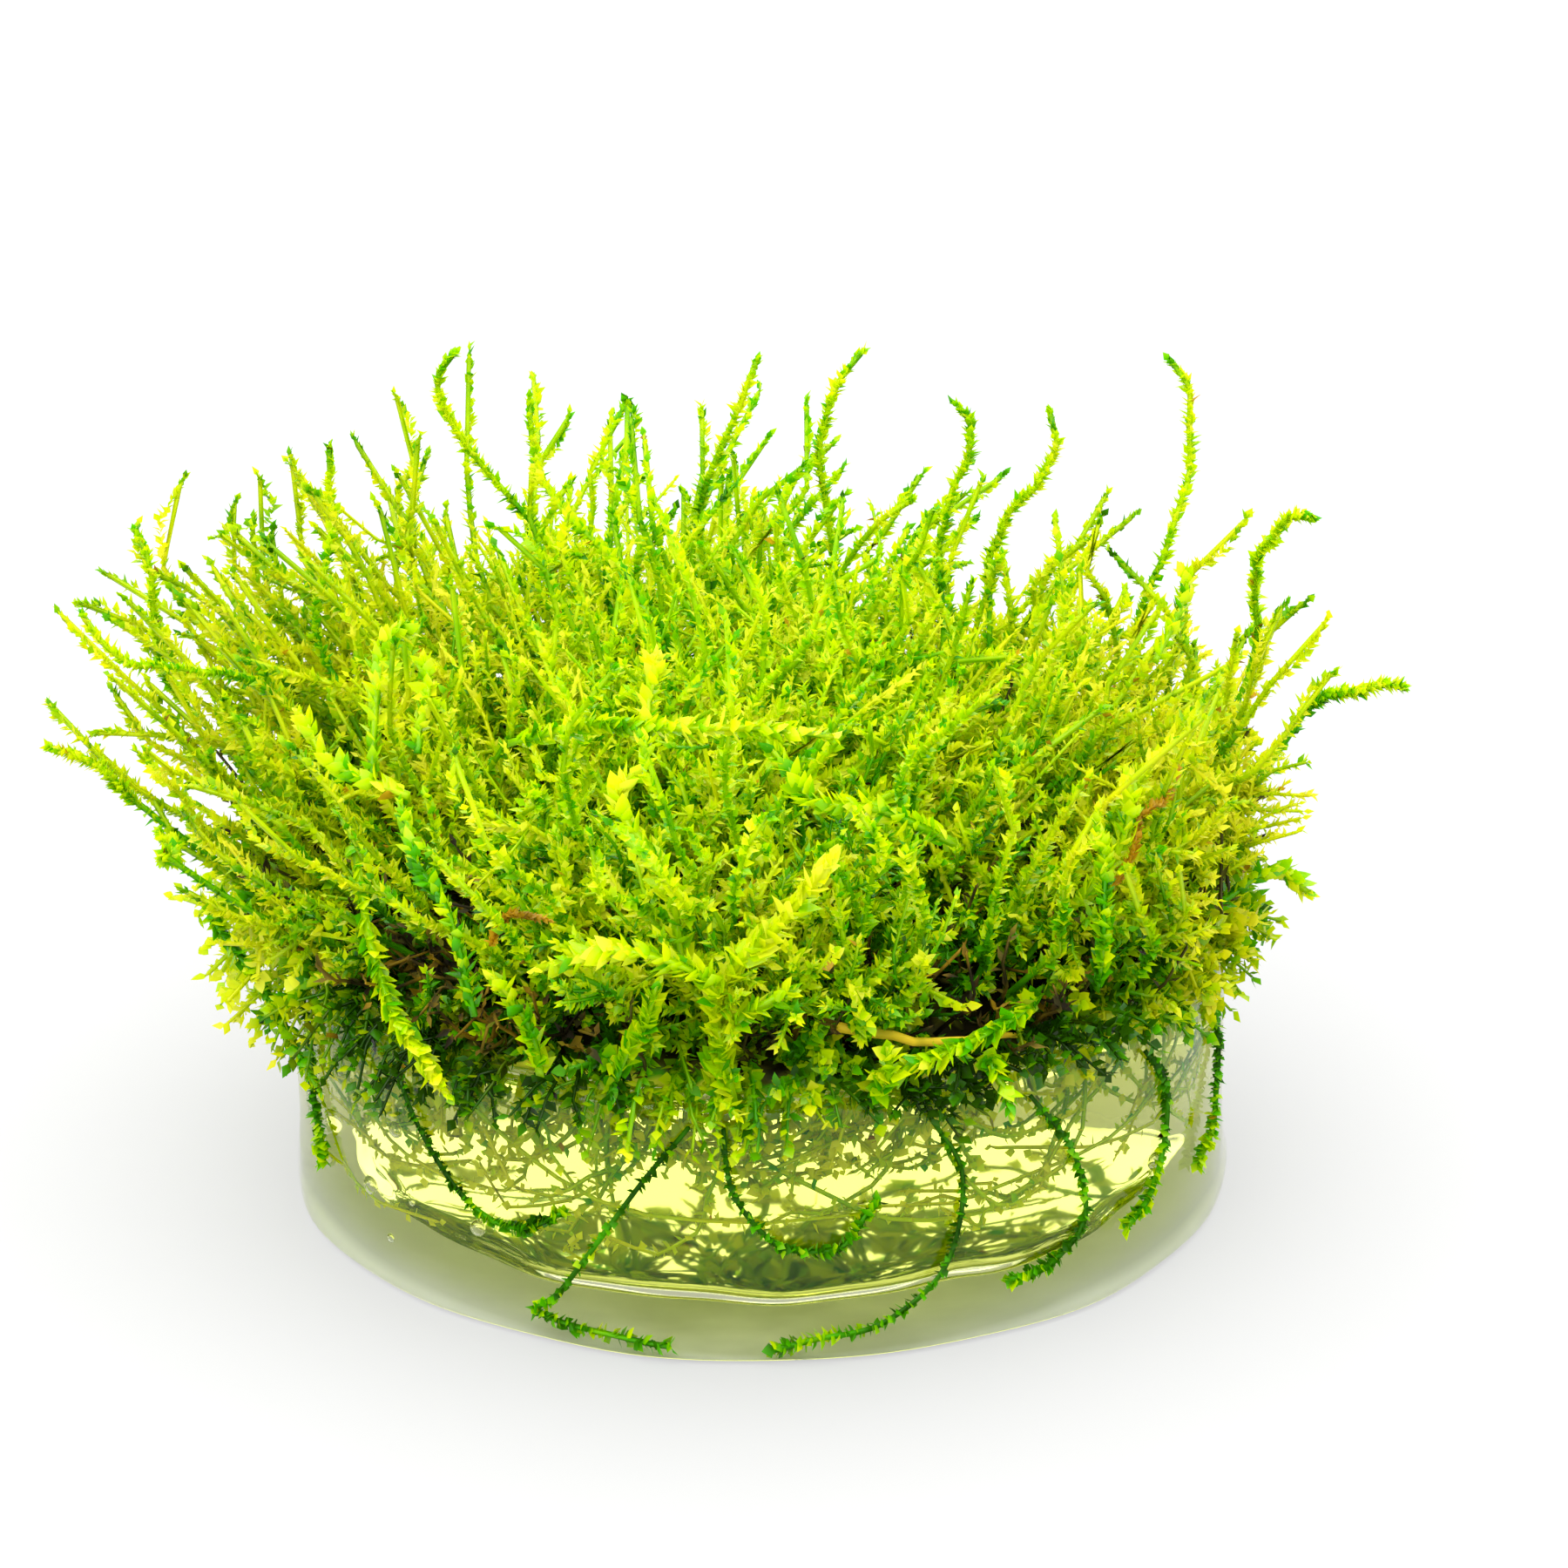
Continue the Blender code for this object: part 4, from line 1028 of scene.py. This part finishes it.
def gel_surface(columns=160):
    """The puck: an air pocket under its middle, a step down to the wetted ring, the soft foot, the side with
    a slight ripple, the rounded edge and the hollowed top with low lumps. The pocket's edge, the ripple and
    the lumps are sines round the axis. Also gives which triangles are wetted."""
    azimuth = np.arange(columns) * FULL_TURN / columns
    pocket = POCKET_RADIUS + 0.35 * np.sin(3 * azimuth + 1) + 0.25 * np.sin(8 * azimuth)
    pocket = pocket + 0.15 * np.sin(17 * azimuth + 2)
    rows = [(pocket * share, POCKET_HEIGHT) for share in POCKET_SHARES]
    rows += [(pocket + extra, height) for extra, height in POCKET_STEPS]
    wet_from = len(rows) - 1
    rows += [(radius, 0.0) for radius in CONTACT_RADII]
    rows.append((gel_wall(azimuth, 0.0) - FOOT_TUCK, 0.0))
    wet_to = len(rows) - 1
    for height in WALL_HEIGHTS:
        ripple = 0.07 * np.sin(4 * azimuth + 0.5 * height) * np.sin(0.7 * height)
        ripple = ripple + 0.04 * np.sin(11 * azimuth - height)
        rows.append((gel_wall(azimuth, height) + ripple * smooth(height / 3), height))
    for turn in np.radians(EDGE_TURNS_DEG):
        height = GEL_HEIGHT - GEL_EDGE + GEL_EDGE * 0.8 * np.sin(turn)
        rows.append((GEL_RADIUS - GEL_EDGE * (1 - np.cos(turn)), height))
    for radius in TOP_RADII:
        lumps = 0.25 * np.sin(0.35 * radius * np.cos(azimuth) + 1) * np.cos(0.4 * radius * np.sin(azimuth))
        rows.append((radius, np.minimum(gel_top(radius) + lumps - TOP_SINK, GEL_HEIGHT)))
    triangles = grid_faces(len(rows), columns)
    row = triangles[:, 0] // columns
    in_band = np.arange(len(triangles)) < len(triangles) - 2 * columns
    points = turned(rows, azimuth, POCKET_HEIGHT, gel_top(0.0) - TOP_SINK)
    return points, triangles, (row >= wet_from) & (row < wet_to) & in_band


def bubble_cavities(count, rng, rows=7, columns=14):
    """Small round hollows near the gel's side: spheres whose faces point into the hollow."""
    turn = (np.arange(rows) + 1) * math.pi / (rows + 1)
    around = np.arange(columns) * FULL_TURN / columns
    ball = turned(zip(np.sin(turn), -np.cos(turn)), around, -1.0, 1.0)
    size = rng.uniform(*BUBBLE_SIZES, (count, 1, 1))
    azimuth = rng.uniform(0, FULL_TURN, count)
    centre = polar(BUBBLES_OUT - size[:, 0, 0], azimuth, rng.uniform(*BUBBLE_HEIGHTS, count))
    points = centre[:, None] + size * ball
    faces = (np.arange(count) * len(ball))[:, None, None] + grid_faces(rows, columns)[:, ::-1]
    return points.reshape(-1, 3), faces.reshape(-1, 3)


def mat_surface(columns=180):
    """The old growth's base: its edge is ragged by sines round it, its underside follows the gel, and its top
    is the lumpy dome with a finer crumble, a product of two sines."""
    azimuth = np.arange(columns) * FULL_TURN / columns
    edge = MAT_RADIUS * (1 + 0.012 * np.sin(5 * azimuth + 2) + 0.008 * np.sin(11 * azimuth))
    edge = edge + 0.25 * np.sin(23 * azimuth) + 0.2 * np.sin(41 * azimuth + 1)
    rows = [(edge * share, gel_top(edge * share) + GAP) for share in MAT_UNDER_SHARES]
    rows.append((edge, gel_top(edge) + MAT_EDGE_CLEAR))
    for share in MAT_TOP_SHARES:
        radius = edge * share
        crumble = 0.35 * np.sin(1.9 * radius + 5 * azimuth) * np.sin(37 * azimuth + radius)
        rows.append((radius, mat_top(radius, azimuth) + crumble))
    return turned(rows, azimuth, gel_top(0.0) + GAP, mat_top(0.0, 0.0)), grid_faces(len(rows), columns)


def skirt_paths(rng):
    """Shoots that grow out from the mat's rim, rise a little and droop by a square law past the edge."""
    one = (RIM_LOCKS * SHOOTS_PER_LOCK, 1)
    t = np.linspace(0, 1, 9)
    azimuth = rng.uniform(0, FULL_TURN, one)
    start = rng.uniform(*SKIRT_STARTS, one)
    hang = by_direction(RIM_HANG, azimuth)
    bare = bareness(start, azimuth)
    reach = rng.uniform(*SKIRT_REACHES, one) + rng.uniform(0.2, 1.2, one) * hang
    reach = (reach * by_direction(RIM_SHARES, azimuth) + ROOT_RADIUS - start) * (1 - 0.5 * bare)
    rise = rng.uniform(*SKIRT_RISES, one) * (1 - 0.8 * bare)
    drop = rise + rng.uniform(*SKIRT_DROPS, one)
    turn = rng.normal(0, 0.12, one) * t
    up = mat_top(start, azimuth) + 0.4 + rise * t + (0.6 * by_direction(RIM_RAISED, azimuth) - drop) * t**2
    return wander(polar(start + reach * t, azimuth + turn, up), rng, wave=0.7, curl=0.9)


def rim_lock_paths(rng):
    """Locks that leave the mat's rim and hang over the puck's edge, several to each of the CAD source's."""
    count = RIM_LOCKS * SHOOTS_PER_LOCK
    one = (count, 1)
    t = np.linspace(0, 1, 8)
    radius, height = np.array(RIM_LOCK_PATH).T
    stops = np.linspace(0, 1, len(radius))
    start = (np.arange(count) + rng.uniform(-0.5, 0.5, count))[:, None] * FULL_TURN / count
    hang = by_direction(RIM_HANG, start) * by_direction(RIM_SHARES, start) * rng.uniform(0.5, 1.25, one)
    out = np.interp(t, stops, radius) + hang * t**2 + rng.normal(0, 0.4, one)
    drop = rng.uniform(*LOCK_DROPS, one) * (1 - 0.7 * bareness(ROOT_RADIUS, start))
    drop = drop - by_direction(RIM_RAISED, start)
    azimuth = start + rng.normal(0, 0.09, one) * t
    up = np.interp(t, stops, height) + 0.3 - drop * t**2
    return wander(polar(out, azimuth, up), rng, wave=0.5, curl=0.4)


def rim_tints(paths):
    """Rottenness of rim shoots, how much paler than the others they are at the left, and their share of dead
    tissue at the right."""
    left, right = (smooth(way * paths[:, -1, 0] / 30 - 0.2) for way in (-1, 1))
    return rottenness(paths), 0.3 * left - 0.05 * right, 0.22 * right


# ---- Operators ----


class MOSS_OT_gel(bpy.types.Operator):
    """Clear gel puck with its bubbles and the stems that have grown into it"""

    bl_idname = "moss.gel"
    bl_label = "Gel puck"

    def execute(self, context):
        sizes, looks = context.scene.moss_sizes, context.scene.moss_looks
        rng = np.random.default_rng(SEED + 1)
        points, triangles, wet = gel_surface()
        bubble_points, bubble_faces = bubble_cavities(sizes.bubbles, rng)
        triangles = np.concatenate([triangles, bubble_faces + len(points)])
        points = np.concatenate([points, bubble_points])
        puck = piece("gel_body", points, triangles, None, clear_gel(looks), "clear_gel", "gel_puck")
        puck.data.materials.append(wet_contact(looks))
        index = np.zeros(len(triangles), np.int32)
        index[: len(wet)] = wet
        puck.data.polygons.foreach_set("material_index", index)
        # Painted light: the strands and roots get lighter tones than the shoots outside the gel, which lifts
        # them where they lie in the gel's shade
        strands = leafy_shoots(strand_paths(sizes.gel_strands, rng), rng, (0.5, 0.92), **STRAND)
        paths = root_paths(sizes.gel_roots, rng)
        tone = stacked(rng.uniform(0.4, 0.7, len(paths)), rng.uniform(0.7, 1.0, len(paths)))
        roots = leafy_shoots(paths, rng, tone, **ROOT)
        piece("stems_in_gel", *joined([strands, roots]), leaf_material(looks), "runner_stem")
        return {"FINISHED"}


class MOSS_OT_old_growth(bpy.types.Operator):
    """Mat of old growth with dead stems, leaves and the locks over its rim"""

    bl_idname = "moss.old_growth"
    bl_label = "Old growth"

    def execute(self, context):
        looks = context.scene.moss_looks
        rng = np.random.default_rng(SEED + 2)
        points, triangles = mat_surface()
        growth = np.zeros((len(points), 4))
        # Painted light: the underside's points get tone 1.1, the bright tip colour, which lifts the mat's
        # shaded underside where the gel shows it; the top's points get 0.12
        growth[:, 0] = np.where(points[:, 2] < GEL_HEIGHT + 0.4, 1.1, 0.12)
        growth[:, 1] = rng.uniform(0, 1, len(points))
        count = OLD_STALKS
        radius = MAT_RADIUS * np.sqrt(rng.uniform(0.25, 1.02, count))
        azimuth = rng.uniform(0, FULL_TURN, count)
        s = rng.uniform(0.12, 0.5, count)[:, None] * np.linspace(0, 1, 7)
        old = flow_point(radius[:, None], azimuth[:, None], s) - [0, 0, OLD_STALK_SINK]
        old = wander(old, rng, wave=1.2, curl=0.8)
        tone = stacked(rng.uniform(0, 0.2, count), rng.uniform(0.1, 0.5, count))
        dead = rng.uniform(0, 1, count) < 0.25 + 0.7 * bareness(radius, azimuth)
        dead = dead * rng.uniform(0.3, 1, count)
        length = rng.uniform(0.8, 1.5, count)
        stalks = leafy_shoots(old, rng, tone, dead=dead, length=length, **OLD_STALK)
        line = wander(curve_through(SLIVER, 14)[None], rng, wave=0.45, curl=0)
        sliver, sliver_faces, _ = stems(line, *SLIVER_STEM, sides=5)
        sliver_growth = np.tile([1.0, 0.5, 0.0, 0.8], (len(sliver[0]), 1))
        mat = joined([(points, triangles, growth), stalks, (sliver[0], sliver_faces, sliver_growth)])
        piece("old_growth_matting", *mat, old_material(looks), "old_growth", "old_growth_mat")
        paths = rim_lock_paths(rng)
        rotten, paler, old = rim_tints(paths)
        tone = stacked(0.4 - 0.5 * rotten, rng.uniform(0.3, 0.7, len(paths)) + paler - 0.5 * rotten)
        locks = leafy_shoots(paths, rng, tone, dead=np.maximum(0.4 * rotten, old), **RIM_LOCK)
        paths = skirt_paths(rng)
        rotten, paler, old = rim_tints(paths)
        tone = stacked(0.35 - 0.5 * rotten, rng.uniform(0.4, 0.85, len(paths)) + paler - 0.4 * rotten)
        length = rng.uniform(0.85, 1.25, len(paths))
        dead = np.maximum(0.6 * rotten * rng.uniform(0, 1, len(paths)), old)
        skirt = leafy_shoots(paths, rng, tone, dead=dead, length=length, **SKIRT)
        piece("rim_shoots", *joined([locks, skirt]), leaf_material(looks, True), "moss_leaf")
        return {"FINISHED"}


class MOSS_OT_front_shoots(bpy.types.Operator):
    """Large shoots that lie on the clump's front"""

    bl_idname = "moss.front_shoots"
    bl_label = "Front shoots"

    def execute(self, context):
        looks = context.scene.moss_looks
        rng = np.random.default_rng(SEED + 6)
        live = [(0.0, *shoot) for shoot in FRONT_SHOOTS]
        dry = [(1.0, size, 1.0, stops) for size, stops in DEAD_SHOOTS]
        parts = []
        for dead, size, tone, stops in live + dry:
            path = curve_through(stops, 24)
            span = np.linalg.norm(np.diff(path, axis=0), axis=1).sum()
            look = {"length": size, "per_shoot": int(span / (0.12 * size)), "stem": (0.26 * size, 0.2 * size)}
            look.update(FRONT_SHOOT, facing=np.array([FACING_CAMERA]), dead=dead)
            path = wander(path[None], rng, wave=0.3, curl=0.2)
            parts.append(leafy_shoots(path, rng, (tone - 0.3, tone - 0.14), **look))
        piece("front_shoots", *joined(parts), leaf_material(looks, True), "young_shoot")
        return {"FINISHED"}


class MOSS_OT_tufts(bpy.types.Operator):
    """Live moss: one piece for each of the CAD tufts"""

    bl_idname = "moss.tufts"
    bl_label = "Tufts"

    def execute(self, context):
        sizes, looks = context.scene.moss_sizes, context.scene.moss_looks
        cad_rng, rng = np.random.default_rng(SEED), np.random.default_rng(SEED + 3)
        cells = [(ring, index) for ring, row in enumerate(TUFT_RINGS) for index in range(row[1])]
        for number, (ring, index) in enumerate(cells, 1):
            shoots, near = tuft_shoots(ring, index, cad_rng, rng, sizes)
            node = f"moss_tuft_{number:02d}"
            piece(f"tuft_{number:02d}_shoots", *shoots, leaf_material(looks, near), "moss_leaf", node)
        return {"FINISHED"}


class MOSS_OT_long_shoots(bpy.types.Operator):
    """Single long shoots that stand out past the tufts"""

    bl_idname = "moss.long_shoots"
    bl_label = "Long shoots"

    def execute(self, context):
        sizes, looks = context.scene.moss_sizes, context.scene.moss_looks
        rng = np.random.default_rng(SEED + 4)
        for number, (foot, tip, tip_direction) in enumerate(LONG_SHOOTS, 1):
            paths = wander(long_path(foot, tip, tip_direction)[None], rng, wave=0.6, curl=0)
            shoot = leafy_shoots(paths, rng, (0.35, 0.72), length=sizes.small_leaf / MM, **LONG_SHOOT)
            name = f"long_shoot_{number:02d}"
            piece(name + "_leaves", *shoot, leaf_material(looks), "young_shoot", name)
        return {"FINISHED"}


class MOSS_OT_runners(bpy.types.Operator):
    """Runners on the puck's side, with small leaves set wide apart"""

    bl_idname = "moss.runners"
    bl_label = "Runners"

    def execute(self, context):
        looks = context.scene.moss_looks
        rng = np.random.default_rng(SEED + 5)
        for number, stops in enumerate(RUNNERS, 1):
            places = curve_through(stops, 40)
            azimuth, height = np.radians(places[:, 0]), places[:, 1]
            path = polar(gel_wall(azimuth, height) + RUNNER_CLEAR, azimuth, height)
            runner = leafy_shoots(wander(path[None], rng, wave=0.3, curl=0), rng, (0.05, 0.36), **RUNNER)
            runner[0][:, 2] = np.maximum(runner[0][:, 2], RUNNER_LOWEST)
            name = f"runner_{number:02d}"
            piece(name + "_stem", *runner, leaf_material(looks), "runner_stem", name)
        return {"FINISHED"}


class MOSS_OT_stage(bpy.types.Operator):
    """Floor, soft light and camera"""

    bl_idname = "moss.stage"
    bl_label = "Stage"

    def execute(self, context):
        looks = context.scene.moss_looks
        mesh = bpy.data.meshes.new("floor")
        corners = ((-1, -1), (1, -1), (1, 1), (-1, 1))
        corners = [(FLOOR_HALF * x, FLOOR_HALF * y, -FLOOR_DROP) for x, y in corners]
        mesh.from_pydata(corners, [], [(0, 1, 2, 3)])
        mesh.materials.append(matt_table(looks))
        floor = in_scene("floor", mesh)
        world = bpy.data.worlds.new("white_sky")
        world.use_nodes = True
        tree = world.node_tree
        background = tree.nodes["Background"]
        background.inputs["Color"].default_value = WHITE
        way = add_node(tree, "ShaderNodeTexCoord").outputs["Generated"]
        height = add_node(tree, "ShaderNodeSeparateXYZ", {0: way}).outputs["Z"]
        strengths = {"From Max": SKY_FULL, "To Min": looks.horizon_strength, "To Max": looks.sky_strength}
        strength = add_node(tree, "ShaderNodeMapRange", {"Value": height, **strengths})
        tree.links.new(strength.outputs[0], background.inputs["Strength"])
        context.scene.world = world
        add_area_light("back_light", *BACK_LIGHT, looks.back_power)
        add_area_light("front_light", *FRONT_LIGHT, looks.front_power)
        camera = bpy.data.cameras.new("camera")
        camera.lens = CAMERA_LENS
        camera.sensor_width = SENSOR
        camera.clip_start, camera.clip_end = CLIP
        pitch = math.radians(CAMERA_PITCH_DEG)
        x, y, z = CAMERA_TARGET
        holder = in_scene("camera", camera)
        holder.location = (x, y - CAMERA_DISTANCE * math.cos(pitch), z + CAMERA_DISTANCE * math.sin(pitch))
        holder.rotation_euler = (math.pi / 2 - pitch, 0.0, 0.0)
        context.scene.camera = holder
        context.scene.view_settings.view_transform = "Standard"
        return {"FINISHED"}


def add_area_light(name, place, size, power):
    """A square soft light at place that points at the clump's middle."""
    light = bpy.data.lights.new(name, "AREA")
    light.size = size
    light.energy = power
    holder = in_scene(name, light)
    holder.location = place
    x, y, z = np.array(LIGHT_TARGET) - np.array(place)
    holder.rotation_euler = (math.atan2(math.hypot(x, y), -z), 0.0, math.atan2(-x, y))


class MOSS_PT_panel(bpy.types.Panel):
    """Buttons for each group of pieces, in the 3D view's sidebar"""

    bl_idname = "MOSS_PT_panel"
    bl_label = "Moss clump"
    bl_space_type = "VIEW_3D"
    bl_region_type = "UI"
    bl_category = "Moss"

    def draw(self, context):
        for name in STEPS:
            self.layout.operator("moss." + name)


STEPS = ("gel", "old_growth", "tufts", "front_shoots", "long_shoots", "runners", "stage")
CLASSES = (
    MossSizes,
    MossLooks,
    MOSS_OT_gel,
    MOSS_OT_old_growth,
    MOSS_OT_tufts,
    MOSS_OT_front_shoots,
    MOSS_OT_long_shoots,
    MOSS_OT_runners,
    MOSS_OT_stage,
    MOSS_PT_panel,
)


def register():
    """Registers the classes and hangs the settings on the scene."""
    for cls in CLASSES:
        bpy.utils.register_class(cls)
    bpy.types.Scene.moss_sizes = PointerProperty(type=MossSizes)
    bpy.types.Scene.moss_looks = PointerProperty(type=MossLooks)


def unregister():
    """Takes the settings off the scene and the classes out again."""
    del bpy.types.Scene.moss_looks
    del bpy.types.Scene.moss_sizes
    for cls in reversed(CLASSES):
        bpy.utils.unregister_class(cls)


def main():
    """Makes everything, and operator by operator."""
    register()
    for name in STEPS:
        getattr(bpy.ops.moss, name)()
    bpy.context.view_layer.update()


if __name__ == "__main__":
    main()
